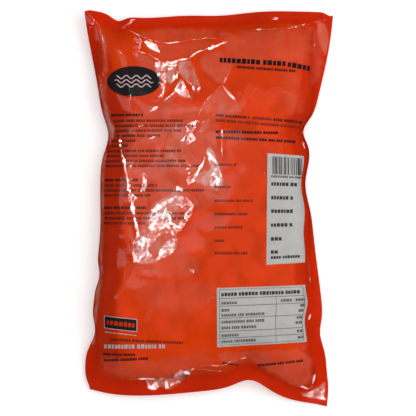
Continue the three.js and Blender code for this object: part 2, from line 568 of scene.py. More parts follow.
@dataclass(frozen=True)
class Crumple:
    """A patch of crumpled film inside an outline: flat shards that face a lamp, each leaning off a little."""

    name: str
    lamp: Lamp
    lean: float
    grain: float
    stretch: float
    turn: float
    outline: tuple[Point, ...]


CREASES = (
    Crease("under the top band", Lamp.TOP, 1.4, 0.03, 0.5, path(
        -55.5, 144.5, -49, 141.5, -43, 140, -32.5, 138.5, -26, 139.5, -20, 140, -15, 141.5, -8.5, 142,
        -1, 143, 6.5, 142.5, 13.5, 140.5)),
    Crease("shoulder left", Lamp.TOP, 1.7, 0.015, 0.6, path(
        -61, 132.5, -55, 130.5, -49, 129, -46, 126.5, -43, 125, -41.5, 123.5, -38.5, 122)),
    Crease("shoulder right", Lamp.TOP, 2.2, 0.012, 0.6, path(
        -38.5, 122, -34, 120.5, -28, 122, -26.5, 123.5, -21, 124.5, -15.5, 125, -12.5, 128.5, -8.5, 131,
        -1, 133.5, 9, 137, 16.5, 140)),
    Crease("flap right side", Lamp.RIGHT, 0.7, 0.055, 0.4, path(-15, 124, -12.5, 118, -10, 111, -7.5, 103)),
    Crease("slanting line", Lamp.RIGHT, 0.6, 0.06, 0.3, path(20, 121, 17.5, 113, 13.5, 105)),
    Crease("short bright fold", Lamp.RIGHT, 2.2, 0.01, 0.5, path(
        12, 102, 15, 98.5, 17.5, 95.5, 20.5, 92, 23.5, 88.5)),
    Crease("flap point", Lamp.RIGHT, 1.6, 0.015, 0.5, path(
        -21, 109, -18.5, 107, -15.5, 105, -13.5, 102.5, -11.5, 100, -7.5, 97)),
    Crease("flap left side", Lamp.CORNER, 1.6, 0.015, 0.5, path(
        -21, 109, -23.5, 105.5, -25.5, 102.5, -28, 97, -31, 94, -33.5, 92, -37, 89)),
    Crease("hem", Lamp.CORNER, 0.8, 0.055, 0.3, path(12, 102.5, 5.5, 97, -1, 90, -4, 86, -8.5, 76)),
    Crease("upper dash", Lamp.TOP, 1.2, 0.02, 0.3, path(-46, 88.5, -44, 89.5, -41.5, 90)),
    Crease("small dash", Lamp.TOP, 1, 0.03, 0.3, path(-30, 85.5, -27, 86.5, -24, 85.5)),
    Crease("middle dash", Lamp.TOP, 1.5, 0.02, 0.4, path(-51.5, 57.5, -47.5, 58, -44, 59.5)),
    Crease("side dash", Lamp.TOP, 1.3, 0.025, 0.3, path(-58, 68, -55.5, 68.5, -53, 69.5)),
    Crease("long fold", Lamp.LEFT, 3.2, 0.01, 0.9, path(
        -73.5, 62, -73.5, 54.5, -73, 49, -71.5, 43.5, -69.5, 38.5, -69.5, 35.5, -68.5, 29, -67, 22.5,
        -66.5, 16, -64.5, 11.5, -60.5, 8.5, -62.5, 5.5, -63, 2.5, -62, -3.5, -60.5, -11.5, -58.5, -19.5,
        -58.5, -24, -56.5, -30)),
    Crease("thin upright line", Lamp.LEFT, 1.5, 0.02, 0.4, path(
        11.5, 65.5, 12, 60.5, 11.5, 53, 11.5, 45, 12.5, 42)),
    Crease("streak high", Lamp.CORNER, 2.2, 0.012, 0.4, path(
        -8, 73, -11, 69, -13.5, 65, -15, 60, -16, 54.5)),
    Crease("streak beside it", Lamp.CORNER, 1.2, 0.02, 0.3, path(-15, 68, -16.5, 63, -17.5, 59)),
    Crease("streak to the right", Lamp.CORNER, 1.2, 0.035, 0.3, path(-1.5, 70.5, -4, 65.5, -7.5, 61.5)),
    Crease("curved streak", Lamp.CORNER, 2.6, 0.01, 0.5, path(
        -2.5, 42.5, -3.5, 39.5, -4.5, 37, -7, 33, -9.5, 28, -13.5, 24, -17, 22.5)),
    Crease("patch top", Lamp.TOP, 1.5, 0.03, 0.5, path(
        -42.5, 1, -39.5, 3.5, -36, 5.5, -32, 8, -26.5, 9.5, -22, 9.5, -17, 7.5, -11.5, 2)),
    Crease("patch side", Lamp.CORNER, 2.6, 0.01, 0.6, path(
        -11.5, 2, -14.5, -1, -16, -3.5, -19, -7.5, -21.5, -11.5, -24.5, -16, -26.5, -20)),
    Crease("patch hollow", Lamp.LEFT, 2, 0.015, 0.4, path(
        -34.5, -3.5, -36, -7.5, -36, -11.5, -35, -14.5, -33, -17, -29.5, -19, -26.5, -19.5)),
    Crease("patch foot line", Lamp.LEFT, 1.2, 0.02, 0.4, path(
        -62.5, -45, -62.5, -39.5, -62.5, -33.5, -62, -29.5)),
    Crease("patch foot hem", Lamp.TOP, 1.2, 0.03, 0.3, path(-62.5, -44, -55.5, -45, -49, -46, -43, -45.5)),
    Crease("faint line", Lamp.TOP, 0.7, 0.05, 0.3, path(
        -60.5, -54, -53, -55.5, -40.5, -57.5, -25.5, -60.5)),
    Crease("fine line low", Lamp.TOP, 0.6, 0.07, 0.3, path(-3.5, -77.5, 5, -74, 13.5, -70.5)),
    Crease("bottom weld", Lamp.TOP, 1.4, 0.05, 0.5, path(
        -74, -144, -54.5, -144, -42, -143, -32, -142.5, -25.5, -141.5, -18.5, -137, -14.5, -135.5,
        -6.5, -135, 6.5, -137, 19.5, -137)),
    Crease("notch fold", Lamp.TOP, 1.6, 0.025, 0.7, path(
        -9, -133.5, -1.5, -131.5, 11.5, -132.5, 20, -128.5, 31.5, -125, 34.5, -125.5)),
    Crease("bottom right weld", Lamp.LEFT, 2.8, 0.005, 0.4, path(
        89, -131.5, 89.5, -136.5, 89.5, -140.5, 89, -145.5, 87.5, -151.5)),
    Crease("bottom right weld foot", Lamp.TOP, 3.2, 0.005, 0.3, path(
        78.5, -150.5, 83.5, -152.5, 87.5, -152)),
    Crease("right waist fold", Lamp.RIGHT, 0.9, 0.06, -0.8, path(81, 75, 81.5, 68, 77.5, 60, 73.5, 58)),
    Crease("right waist ridge", Lamp.RIGHT, 2.0, 0.015, 0.5, path(79, 56.5, 80.5, 52.5, 81.5, 49)),
    Crease("top left fold", Lamp.TOP, 1.6, 0.03, 0.5, path(
        -76, 153, -70.5, 151, -65.5, 149, -60.5, 146.5, -56.5, 144.5)),
    Crease("corner streak", Lamp.CORNER, 1.6, 0.02, 0.4, path(-95, 159.5, -97, 156, -99, 151)),
    Crease("top weld", Lamp.TOP, 1.5, 0.08, 0.5, path(
        37, 150, 52, 150.5, 67, 151, 78.5, 154, 88.5, 156.5, 99.5, 159.5)),
    Crease("left strip", Lamp.LEFT, 1, 0.05, 0.5, path(
        -90.5, 148.5, -87, 136.5, -86, 126.5, -88.5, 112, -90.5, 99.5, -87, 87.5, -85.5, 81.5, -81.5, 68,
        -80, 64.5, -82.5, 60.5)),
    Crease("right strip sparkles", Lamp.RIGHT, 1.8, 0.05, 0.3, path(
        90, 146, 89.5, 140.5, 89.5, 134.5, 90, 128.5)),
    Crease("right band line", Lamp.RIGHT, 1.6, 0.045, 0.3, path(
        84, -40, 84.5, -47.5, 85.5, -57, 86.5, -66)),
    Crease("right lower streak", Lamp.RIGHT, 2, 0.02, 0.3, path(87, -87.5, 85, -92.5, 82.5, -99.5)),
    Crease("lobe join", Lamp.TOP, 1.6, 0.02, 0.3, path(
        -58.5, -143.5, -52.5, -143.5, -48.5, -144, -42, -145, -36, -144)),
    Crease("under the badge", Lamp.LEFT, 1.5, 0.02, 0.3, path(
        -65.5, 97.5, -64.5, 93.5, -65, 89.5, -65.5, 86.5)),
    Crease("left of the badge", Lamp.LEFT, 0.7, 0.055, 0.3, path(
        -77.5, 133, -73.5, 131, -70.5, 128, -69, 124, -68.5, 119.5)),
)

CRUMPLES = (
    Crumple("blotch under the top", Lamp.CORNER, 0.022, 2, 1.8, -45, path(
        -54.5, 140.5, -49, 141, -42, 136.5, -39.5, 129.5, -44.5, 131, -52, 136)),
    Crumple("margin streaks", Lamp.TOP, 0.075, 1.7, 2, 80, path(
        -62.5, 143, -55.5, 144, -56.5, 134.5, -59, 127, -62.5, 127)),
    Crumple("shoulder knot", Lamp.TOP, 0.036, 1.8, 1.5, 0, path(
        -45, 122, -38, 123, -26, 123.5, -26, 118.5, -31, 115, -40.5, 114.5, -44.5, 118)),
    Crumple("under the knot", Lamp.CORNER, 0.037, 1.8, 1.8, 60, path(
        -26, 116, -23.5, 115, -25.5, 108, -32, 104.5, -29.5, 110.5)),
    Crumple("beside the badge", Lamp.CORNER, 0.045, 1.6, 1.6, 60, path(
        -43, 114.5, -37, 113.5, -32, 109.5, -35.5, 104.5, -41.5, 108)),
    Crumple("squiggle", Lamp.LEFT, 0.035, 1.6, 1.8, 95, path(
        -40, 105, -35, 104.5, -35.5, 97, -38.5, 92.5, -42, 90, -39.5, 98.5)),
    Crumple("flap wedge", Lamp.CORNER, 0.037, 2.2, 1.8, 60, path(
        -21, 108.5, -18.5, 101, -14.5, 92, -22.5, 93.5, -28.5, 97, -24.5, 103.5)),
    Crumple("arm wedge", Lamp.RIGHT, 0.026, 1.8, 1.4, -45, path(
        -15, 103.5, -9.5, 99, -6.5, 102.5, -7, 96.5, -12, 98)),
    Crumple("shoulder blob", Lamp.TOP, 0.022, 1.9, 1.8, 25, path(
        -2.5, 133, 3.5, 137, 9.5, 138.5, 11, 136.5, 1.5, 132)),
    Crumple("under the badge spot", Lamp.TOP, 0.053, 1.8, 1.8, 10, path(
        -49, 85, -42, 84, -43, 81, -49, 80)),
    Crumple("upper streaks", Lamp.CORNER, 0.04, 1.9, 2.4, 60, path(
        -22.5, 56.5, -18.5, 61.5, -17, 70.5, -10, 73.5, -7, 71.5, -12.5, 63, -9.5, 56.5, -16, 53.5)),
    Crumple("upper streaks right", Lamp.CORNER, 0.068, 1.9, 2.4, 55, path(
        -5, 72.5, 1.5, 75.5, 0, 67.5, -7.5, 60.5)),
    Crumple("curved streak foot", Lamp.CORNER, 0.03, 1.9, 1.8, 30, path(
        -18, 25.5, -12.5, 27, -9.5, 28.5, -11, 21, -17, 19.5)),
    Crumple("streak spots", Lamp.LEFT, 0.053, 1.8, 1.5, 80, path(
        -17.5, 38, -14.5, 37, -15, 28.5, -18, 28.5)),
    Crumple("right crumple", Lamp.CORNER, 0.036, 2, 2.4, -65, path(
        -1, 49, 5, 47, 6.5, 40.5, 9.5, 32, 12, 25.5, 10, 20, 5, 16, 1, 20, 3.5, 30.5, 0, 40.5)),
    Crumple("by the long fold", Lamp.LEFT, 0.026, 1.9, 2, -85, path(
        -55.5, 28.5, -52, 30, -51, 20, -52, 14.5, -56, 13.5, -54.5, 22)),
    Crumple("long fold knot", Lamp.LEFT, 0.053, 1.5, 1.2, 0, path(
        -67, 10, -64, 13.5, -60, 9.5, -61.5, 4, -66.5, 5)),
    Crumple("long fold loop", Lamp.LEFT, 0.053, 1.5, 1.2, 0, path(-67.5, 38, -63, 38, -63, 33, -66.5, 33)),
    Crumple("spot over the patch", Lamp.TOP, 0.034, 1.8, 1.6, 10, path(
        -28, 15, -26, 19, -20.5, 17, -22, 13.5)),
    Crumple("patch upper left", Lamp.CORNER, 0.037, 1.9, 1.8, 55, path(
        -50, -16.5, -47, -1.5, -41, 5, -35, 1.5, -33.5, -5, -35, -15, -40, -23.5, -48.5, -26.5)),
    Crumple("patch top band", Lamp.TOP, 0.049, 2, 1.8, 15, path(
        -42, 0, -36, 6, -27, 9.5, -17, 8, -11.5, 2, -17.5, -1, -25.5, 2.5, -33.5, 1, -38, -3.5)),
    Crumple("patch arc", Lamp.CORNER, 0.045, 1.9, 1.6, -40, path(
        -36, -3.5, -31, -3.5, -30.5, -11, -25, -15, -20, -7.5, -15, -1, -11.5, 2.5, -14, -6.5,
        -23.5, -20, -30, -23.5, -38.5, -18.5, -40, -11.5)),
    Crumple("patch foot left", Lamp.LEFT, 0.05, 1.9, 1.6, 60, path(
        -62, -45, -62, -27.5, -57, -21.5, -52, -25, -48.5, -20, -42, -16.5, -38.5, -20, -43.5, -26.5,
        -48.5, -33.5, -47, -40, -53.5, -45)),
    Crumple("patch foot right", Lamp.CORNER, 0.045, 2, 1.8, 40, path(
        -43.5, -43.5, -40, -35, -34.5, -28.5, -26.5, -23.5, -25, -28.5, -27.5, -36, -35, -41)),
    Crumple("bottom lobe left", Lamp.TOP, 0.015, 1.8, 1.4, 90, path(
        -53, -143.5, -52, -149.5, -50, -153, -46.5, -154, -43, -153, -41.5, -149.5, -42.5, -145.5,
        -45.5, -146.5, -47.5, -150, -50, -147)),
    Crumple("bottom lobe middle", Lamp.TOP, 0.015, 1.8, 1.4, 90, path(
        -37, -144, -37, -149.5, -36, -153.5, -32, -153, -33, -148, -33.5, -144)),
    Crumple("bottom lobe right", Lamp.TOP, 0.037, 1.8, 1.4, 60, path(
        -33.5, -151, -29, -145, -23.5, -142, -18, -136, -11, -133.5, -17, -142.5, -23.5, -147.5,
        -29, -148.5, -31, -151.5)),
    Crumple("bottom band glints", Lamp.TOP, 0.068, 1.9, 2.2, 35, path(
        -42, -145, -36, -144, -29, -143.5, -21, -138, -13.5, -133.5, -22.5, -136, -31.5, -139.5,
        -40, -143)),
    Crumple("bottom right corner", Lamp.CORNER, 0.045, 1.8, 1.8, 20, path(
        78.5, -158.5, 85, -155.5, 92, -152.5, 96, -150.5, 99, -147, 99, -163, 92, -161.5, 84.5, -160.5)),
    Crumple("top band glint", Lamp.TOP, 0.037, 1.8, 2, 60, path(
        -72.5, 151.5, -65, 160, -60.5, 160.5, -66.5, 153)),
    Crumple("top band glint right", Lamp.RIGHT, 0.037, 1.8, 1.6, 0, path(
        51.5, 161.5, 61.5, 161, 60, 158, 53, 158.5)),
    Crumple("sparkles", Lamp.CORNER, 0.068, 1.4, 1.2, 0, path(-15, -50.5, -11, -51, -12, -54, -15, -53)),
)


@dataclass(frozen=True)
class PaintedHaze:
    """A stretch of film inside an outline whose colour takes a painted haze of reflected light: how strongly,
    and how soft its edge is.
    """

    name: str
    strength: float
    softness: float
    outline: tuple[Point, ...]


# Painted haze: outlines where pale reflected light is painted into the film's colour.
PAINTED_HAZES = (
    PaintedHaze("flap", 1.35, 0.8, path(
        -26, 122.5, -15, 124, -10.5, 114, -6, 99.5, -12.5, 102.5, -20.5, 108.5, -24.5, 113)),
    PaintedHaze("beside the flap", 0.6, 2, path(
        -6.5, 125.5, 6.5, 132, 18, 130, 19.5, 118, 13.5, 103, 8.5, 104.5, -2.5, 114, -6.5, 123)),
    PaintedHaze("under the slanting line", 0.7, 1.5, path(
        8, 98, 12, 101, 18, 92.5, 24, 87, 26.5, 81, 15.5, 80, 8, 81, -2, 76.5, -5.5, 83, 1.5, 92.5)),
    PaintedHaze("over the badge", 0.6, 2, path(
        -61, 129.5, -54.5, 129.5, -44, 124, -44.5, 115.5, -57, 117.5, -61, 124)),
    PaintedHaze("under the top line", 0.4, 2, path(
        -54.5, 139, -15, 138.5, 6, 139.5, 5, 133.5, -16, 126, -26.5, 123, -40, 122.5, -47.5, 129.5)),
    PaintedHaze("over the top line", 0.35, 2.5, path(
        -58.5, 146.5, -40.5, 151.5, 6, 149.5, 6, 143, -19.5, 139.5, -40.5, 140, -54.5, 144)),
    PaintedHaze("middle", 0.5, 4, path(
        -72, 75, -40, 90, -6.5, 83.5, 9, 80, 9, 40, 13.5, 19, 11.5, 6.5, -2.5, -1.5, -23.5, 10,
        -48.5, 2.5, -59.5, -11.5, -64.5, 6.5, -67.5, 27.5, -70, 40, -72.5, 57)),
    PaintedHaze("patch", 0.9, 1.5, path(
        -58.5, -45, -62, -45, -62, -26.5, -57.5, -20, -51, -5, -46, 4, -42, 9, -30, 11, -18.5, 8.5,
        -12.5, 3.5, -15, -3.5, -23.5, -16.5, -26.5, -20, -25, -26.5, -26.5, -35, -35, -41, -42, -42,
        -48.5, -45)),
    PaintedHaze("left strip", 0.8, 1.2, path(
        -92.5, 148, -89, 148, -86, 140, -85.5, 122.5, -86, 94.5, -84.5, 83.5, -88, 83.5, -89.5, 98,
        -87, 108.5, -87.5, 129.5, -89.5, 140)),
    PaintedHaze("right of the middle", 0.8, 2, path(
        -18.5, 21.5, -14, 40, -6.5, 48.5, 3.5, 52, 8.5, 40, 13.5, 23.5, 11.5, 15, 1.5, 16.5, -6.5, 20)),
    PaintedHaze("left edge by the waist", 1.6, 1, path(
        -88.5, 83.5, -85, 80, -78.5, 67, -79.5, 60, -82.5, 52, -84, 60, -86, 72)),
    PaintedHaze("left edge", 1.3, 0.8, path(
        -87, 50, -89.5, 36, -90, 15, -90, -6, -91.5, -37.5, -91, -53.5, -94, -68.5, -95, -81, -97, -93.5,
        -98, -106, -98.5, -114.5, -96, -115.5, -95, -104.5, -93.5, -93.5, -92, -81, -90.5, -68.5,
        -88.5, -53.5, -89, -37.5, -87.5, -6, -87.5, 15, -87, 36, -85, 48.5)),
    PaintedHaze("over the bottom band, left", 0.35, 3, path(
        -90, -125.5, -48.5, -128, -6.5, -120.5, 6, -128.5, -11, -133.5, -23.5, -140.5, -48.5, -143,
        -73.5, -142, -87, -137)),
    PaintedHaze("over the bottom band, right", 0.5, 2, path(
        8.5, -121, 77, -118.5, 87, -127, 86, -146, 77, -152, 64.5, -144.5, 45, -133, 34.5, -125.5,
        22.5, -130.5, 8.5, -129.5)),
    PaintedHaze("table edge", 0.3, 2, path(74.5, -92, 81, -92, 82, -118.5, 76, -120.5)),
    PaintedHaze("right crumple", 1.7, 1.2, path(
        -1.5, 51, 2.5, 51, 6, 43.5, 10, 35, 12.5, 25, 12.5, 18.5, 7.5, 14, -2.5, 16.5, -6.5, 23.5,
        -1, 30, 2.5, 33.5, -1.5, 42)),
    PaintedHaze("left of the right crumple", 1.3, 1.5, path(
        -7.5, 30, -1.5, 33.5, 2.5, 25, -1, 17.5, -7.5, 20, -13.5, 21.5, -15, 25)),
    PaintedHaze("streak bed", 1, 1.5, path(
        -26.5, 75, -21.5, 72, -17.5, 61, -15, 48.5, -16, 36, -22.5, 33.5, -30, 30, -36, 33.5, -37, 44.5,
        -33.5, 57)),
    PaintedHaze("wedge", 1.6, 1, path(
        -22.5, 108.5, -26.5, 102, -28.5, 98, -22.5, 92.5, -16.5, 92, -13.5, 91, -18.5, 97)),
    PaintedHaze("knot", 1.5, 1, path(
        -45, 119.5, -35, 122, -28.5, 122, -26, 118, -28.5, 110.5, -31, 103.5, -37, 107, -43.5, 111)),
    PaintedHaze("patch, upper", 1.4, 1, path(
        -47, 2.5, -35, 10, -26.5, 15, -21.5, 12.5, -21, 6.5, -26, -3.5, -31.5, -15, -40, -15, -48.5, -15,
        -52, -8.5)),
    PaintedHaze("patch, left foot", 1.5, 1, path(
        -59.5, -21.5, -52, -16.5, -47, -25, -50, -34.5, -42, -45, -52, -47, -62, -45, -62.5, -33.5)),
    PaintedHaze("patch, right foot", 1.4, 1, path(
        -40, -31.5, -31, -25, -27.5, -31.5, -30, -38.5, -40, -42, -42.5, -38.5)),
    PaintedHaze("lobes", 1.2, 1.2, path(
        -52, -144.5, -42, -144.5, -30, -143, -21.5, -138, -15, -135.5, -21.5, -144.5, -31, -152,
        -40, -150.5, -49.5, -152)),
    PaintedHaze("upper right panel", 0.45, 5, path(11.5, 146, 87, 150.5, 83.5, 122, 45, 122, 14, 120.5)),
    PaintedHaze("right corner gusset", 0.9, 1, path(
        92.5, 158, 98.5, 155.5, 102, 148, 101.5, 138.5, 99, 128.5, 95, 137, 92.5, 145.5)),
    PaintedHaze("left corner streak", 0.9, 0.9, path(
        -92, 148.5, -89.5, 147.5, -85.5, 136, -84.5, 125.5, -84.5, 113.5, -86.5, 113.5, -87.5, 126,
        -89, 137)),
    PaintedHaze("left edge, upper", 1.2, 0.8, path(
        -93, 113.5, -91, 110.5, -87.5, 94.5, -83, 81, -82, 73.5, -84.5, 72, -87.5, 82, -91, 97)),
    PaintedHaze("over the badge streak", 0.9, 1, path(
        -77, 132.5, -74.5, 132, -70, 126, -67.5, 118.5, -72, 118.5, -74, 126)),
    PaintedHaze("bottom right corner", 1.1, 1.2, path(
        79.5, -157, 87, -154.5, 93.5, -151, 98.5, -147, 99.5, -162, 92, -161, 84.5, -159.5)),
    PaintedHaze("under the patch", 0.45, 3, path(
        -42, -40.5, -28, -36.5, -21, -35, -8, -44.5, -7, -54.5, -21, -59, -39, -55.5, -59.5, -53.5,
        -62.5, -47.5)),
    PaintedHaze("under the faint line", 0.3, 5, path(
        -56, -60, -23.5, -61, 6, -63.5, 6.5, -77, -15, -87, -48.5, -85, -61, -72.5)),
    PaintedHaze("upper right", 0.3, 5, path(63.5, 113.5, 76, 112, 78.5, 82, 68.5, 78.5, 62, 94.5)),
    PaintedHaze("top right corner", 0.35, 5, path(57, 150.5, 78.5, 148.5, 79.5, 128, 58.5, 132)),
    PaintedHaze("right strip", 0.35, 2.5, path(88.5, 148.5, 98, 150.5, 95, 111, 87.5, 103.5)),
)


@dataclass(frozen=True)
class Filling:
    """The frozen prawns under the film: curled crescents at the points of a sunflower spiral."""

    count: int = 78
    field_x: float = 86.0
    field_y: float = 146.0
    middle_y: float = -8.0
    bend_radius: float = 12.5
    body_radius: float = 8.0
    tail_share: float = 0.35
    arc: float = 2.1
    unevenness: float = 3.0
    turning: float = 1.7
    reach: float = 24.0
    seed: int = 11

    def height(self, x: Array, y: Array) -> Array:
        """The prawns' tops over the heap's own height.

        A crescent's back is a circle bent round an arc: the root of its radius squared less the distance
        from the arc squared, with the radius shrinking from the head's end to the tail's.

        Args:
            x: places in plan.
            y: places in plan.

        Returns:
            The highest prawn's top at each place, at most about the body's radius.
        """
        golden = np.pi * (3.0 - np.sqrt(5.0))
        draws = np.random.default_rng(self.seed)
        highest = np.zeros_like(x)
        for i in range(self.count):
            outward = math.sqrt((i + 0.5) / self.count)
            middle_x = self.field_x * outward * math.cos(i * golden)
            middle_y = self.middle_y + self.field_y * outward * math.sin(i * golden)
            turn = i * golden * self.turning
            sunk = self.unevenness * draws.random()
            near = (np.abs(x - middle_x) < self.reach) & (np.abs(y - middle_y) < self.reach)
            off_x = x[near] - middle_x
            off_y = y[near] - middle_y
            bearing = np.mod(np.arctan2(off_y, off_x) - turn + np.pi, 2.0 * np.pi) - np.pi
            along = np.clip(bearing / self.arc, -1.0, 1.0)
            radius = self.body_radius * (1.0 - (1.0 - self.tail_share) * (0.5 + 0.5 * along) ** 2)
            past_end = np.maximum(np.abs(bearing) - self.arc, 0.0) * self.bend_radius
            away = np.hypot(np.hypot(off_x, off_y) - self.bend_radius, past_end)
            top = np.sqrt(np.maximum(radius**2 - away**2, 0.0)) - sunk
            highest[near] = np.maximum(highest[near], top)
        return highest


class UpperFilm:
    """The upper film on a fine raster over the plan: its heights, its folds, and where a painted haze of
    reflected light lies on its colour.

    Where noise is read, x and y are divided by its reach in millimetres, and what is added only shifts it.
    """

    CELL = 0.4
    LOW = (-115.0, -178.0)
    HIGH = (115.0, 180.0)
    SUNK = 0.6
    PRAWN_RELIEF = 0.30
    SPAN_REACH = 7.0
    DRAPE_REACHES = (5.0, 4.0, 3.0, 2.2)
    SMOOTH_REACH = 2.6
    CONTACT_REACH = 1.5
    FACET_REACH = 1.8
    FOLD_REACH = 0.4
    LARGE_FACET = 26.0
    SMALL_FACET = 11.0
    FOLD_RELIEF = 0.35
    PATCH_STRAY = 1.6
    PATCH_EDGE = (-0.6, 0.5)
    SHARD_WARP = 0.5
    BREAK_STRAY = 0.4
    STRIP_EDGE = (-0.2, 0.35)
    LEAN = 0.8
    LAMP_REACH = 0.09
    LAMP_EDGE = 0.08

    def __init__(self, pillow: Pillow, filling: Filling, centre: Point) -> None:
        """Works out the raster: the filled form, the prawns that the film drapes over, and its folds.

        Args:
            pillow: the filled form.
            filling: the prawns under the film.
            centre: the plan place that becomes the origin.
        """
        self.pillow = pillow
        self.centre = centre
        columns = np.arange(self.LOW[0], self.HIGH[0], self.CELL)
        rows = np.arange(self.LOW[1], self.HIGH[1], self.CELL)
        self.x, self.y = np.meshgrid(columns, rows)
        self.full = pillow.fullness(self.x, self.y)
        self.rim = pillow.rim(self.x, self.y)
        self.heights, self.contact = self.drape(filling)
        self.heights += self.seal_puckers()
        self.heights += self.slack()
        self.crisp = np.zeros_like(self.x)
        self.slope_y, self.slope_x = np.gradient(self.heights, self.CELL)
        self.steepness = np.abs(self.slope_x)
        self.smooth = self.heights.copy()
        self.crumple()
        self.crease()
        self.heights = blurred(self.heights, self.FOLD_REACH / self.CELL)
        self.matt = self.dulled()
        # The painted haze of reflected light that the film's colour takes.
        self.painted_haze = self.painted_haze_map()
        log.info("film raster %d x %d", *self.x.shape)

    def drape(self, filling: Filling) -> Pair:
        """Lays the film over the prawns.

        The film starts as a wide blur of what is under it, and is then lifted to the prawns' tops and
        blurred again, less widely each time, so that it spans from top to top.

        Args:
            filling: the prawns.

        Returns:
            The film's height over the surface, and its contact with the prawns from 0 to 1.
        """
        form = self.pillow.front(self.x, self.y)
        prawns = filling.height(self.x, self.y) * self.PRAWN_RELIEF
        under = form - self.SUNK * self.full + prawns * smooth_step(self.full, 0.2, 0.8)
        film = blurred(under, self.SPAN_REACH / self.CELL)
        for reach in self.DRAPE_REACHES:
            film = blurred(np.maximum(film, under), reach / self.CELL)
        contact = 1.0 - smooth_step(film - under, 0.2, 1.6)
        kept = smooth_step(self.full, 0.0, 0.12)
        film = blurred(form * (1.0 - kept) + film * kept, self.SMOOTH_REACH / self.CELL)
        contact *= smooth_step(self.full, 0.1, 0.5)
        return self.rim + film, blurred(contact, self.CONTACT_REACH / self.CELL)

    def seal_puckers(self) -> Array:
        """Small gathers that run in from the welds: noise drawn out across each band, dying away inwards.

        Returns:
            What they add to the film's height.
        """
        noise = Noise(5)
        inset = self.pillow.insets(self.x, self.y)
        gather = np.zeros_like(self.x)
        for side, along, depth, reach in (
            ("left", self.y, 0.9, 14.0), ("right", self.y, 0.7, 12.0),
            ("top", self.x, 0.5, 18.0), ("bottom", self.x, 0.7, 14.0),
        ):
            away = np.maximum(inset[side], 0.0)
            shape = noise.at(along / 17.0 + 40.0, away / 60.0 + 3.0)
            shape += 0.3 * noise.at(along / 7.0, away / 30.0)
            gather += depth * shape * bell(away - 7.0, reach) * smooth_step(inset[side], -3.0, 6.0)
        return gather

    def slack(self) -> Array:
        """Broad buckles of the loose film: soft noise, and flat facets with slightly rounded ridges.

        Returns:
            What they add to the film's height.
        """
        noise = Noise(23)
        facets = Facets(29)
        bend_x = self.x + 5.0 * noise.at(self.x / 21.0, self.y / 21.0)
        bend_y = self.y + 5.0 * noise.at(self.x / 21.0 + 60.0, self.y / 21.0)
        broad = 0.5 * noise.at(self.x / 30.0, self.y / 38.0)
        large = self.LARGE_FACET * 0.030 * facets.at(bend_x / self.LARGE_FACET, bend_y / 34.0)
        small = self.SMALL_FACET * 0.020 * facets.at(bend_x / self.SMALL_FACET + 40.0, bend_y / 13.0)
        flat = blurred(large + small, self.FACET_REACH / self.CELL)
        return (broad + flat) * smooth_step(self.full, 0.03, 0.5)

    def near(self, points: Array, margin: float) -> tuple[slice, slice]:
        """The part of the raster round some points.

        Args:
            points: places in plan, one row each.
            margin: how far round them the part reaches.

        Returns:
            The part's rows and columns.
        """
        low = (points.min(0) - margin - np.array(self.LOW)) / self.CELL
        high = (points.max(0) + margin - np.array(self.LOW)) / self.CELL
        return slice(int(low[1]), int(high[1]) + 2), slice(int(low[0]), int(high[0]) + 2)

    def aim(self, lamp: Lamp, x: Array, y: Array) -> Pair:
        """Slopes that throw a lamp's light straight up, at places in plan."""
        return lamp.facing(x - self.centre[0], y - self.centre[1])

    def flat_bit(self, x: Array, y: Array, middle_x: Array, middle_y: Array, slopes: Pair) -> Array:
        """Height of flat bits: the smooth film's at each bit's middle plus its slopes' rise from there."""
        base = self.sample(self.smooth, middle_x, middle_y)
        return base + slopes[0] * (x - middle_x) + slopes[1] * (y - middle_y)

    def lay(self, part: tuple[slice, slice], flat: Array, slopes: Pair, share: Array) -> None:
        """Mixes flat bits into part of the film, and keeps their slopes for the shading.

        The relief takes only FOLD_RELIEF of the bits' heights, because the real folds are lower than the
        raster's cells can show.

        Args:
            part: the part of the raster.
            flat: the bits' heights.
            slopes: the bits' rises along x and along y.
            share: 1 on the bits and 0 off them.
        """
        relief = self.FOLD_RELIEF * share
        self.heights[part] = self.heights[part] * (1.0 - relief) + flat * relief
        stronger = share > self.crisp[part]
        self.slope_x[part] = np.where(stronger, slopes[0], self.slope_x[part])
        self.slope_y[part] = np.where(stronger, slopes[1], self.slope_y[part])
        self.crisp[part] = np.maximum(self.crisp[part], share)

    def crumple(self) -> None:
        """Breaks each crumpled patch into shards, in its own turned and stretched frame."""
        warp = Noise(31)
        for index, patch in enumerate(CRUMPLES):
            outline = np.array(patch.outline, float)
            part = self.near(outline, 4.0)
            x, y = self.x[part], self.y[part]
            ragged = self.PATCH_STRAY * warp.at(x / 2.2 + 9.0 * index, y / 2.2)
            share = smooth_step(depth_inside(outline, x, y) + ragged, *self.PATCH_EDGE)
            middle = outline.mean(0)
            cosine, sine = math.cos(math.radians(patch.turn)), math.sin(math.radians(patch.turn))
            off_x = x - middle[0] + self.SHARD_WARP * warp.at(x / 2.5, y / 2.5 + 20.0)
            off_y = y - middle[1] + self.SHARD_WARP * warp.at(x / 2.5 + 50.0, y / 2.5)
            along = (off_x * cosine + off_y * sine) / (patch.grain * patch.stretch)
            across = (off_y * cosine - off_x * sine) / patch.grain
            place, lean = Shards(100 + index).nearest(along, across)
            run, side = place[..., 0] * patch.grain * patch.stretch, place[..., 1] * patch.grain
            middle_x = middle[0] + run * cosine - side * sine
            middle_y = middle[1] + run * sine + side * cosine
            aim_x, aim_y = self.aim(patch.lamp, middle_x, middle_y)
            stray = self.LEAN * patch.lean
            slopes = (aim_x + stray * lean[..., 0], aim_y + stray * lean[..., 1])
            self.lay(part, self.flat_bit(x, y, middle_x, middle_y, slopes), slopes, share)

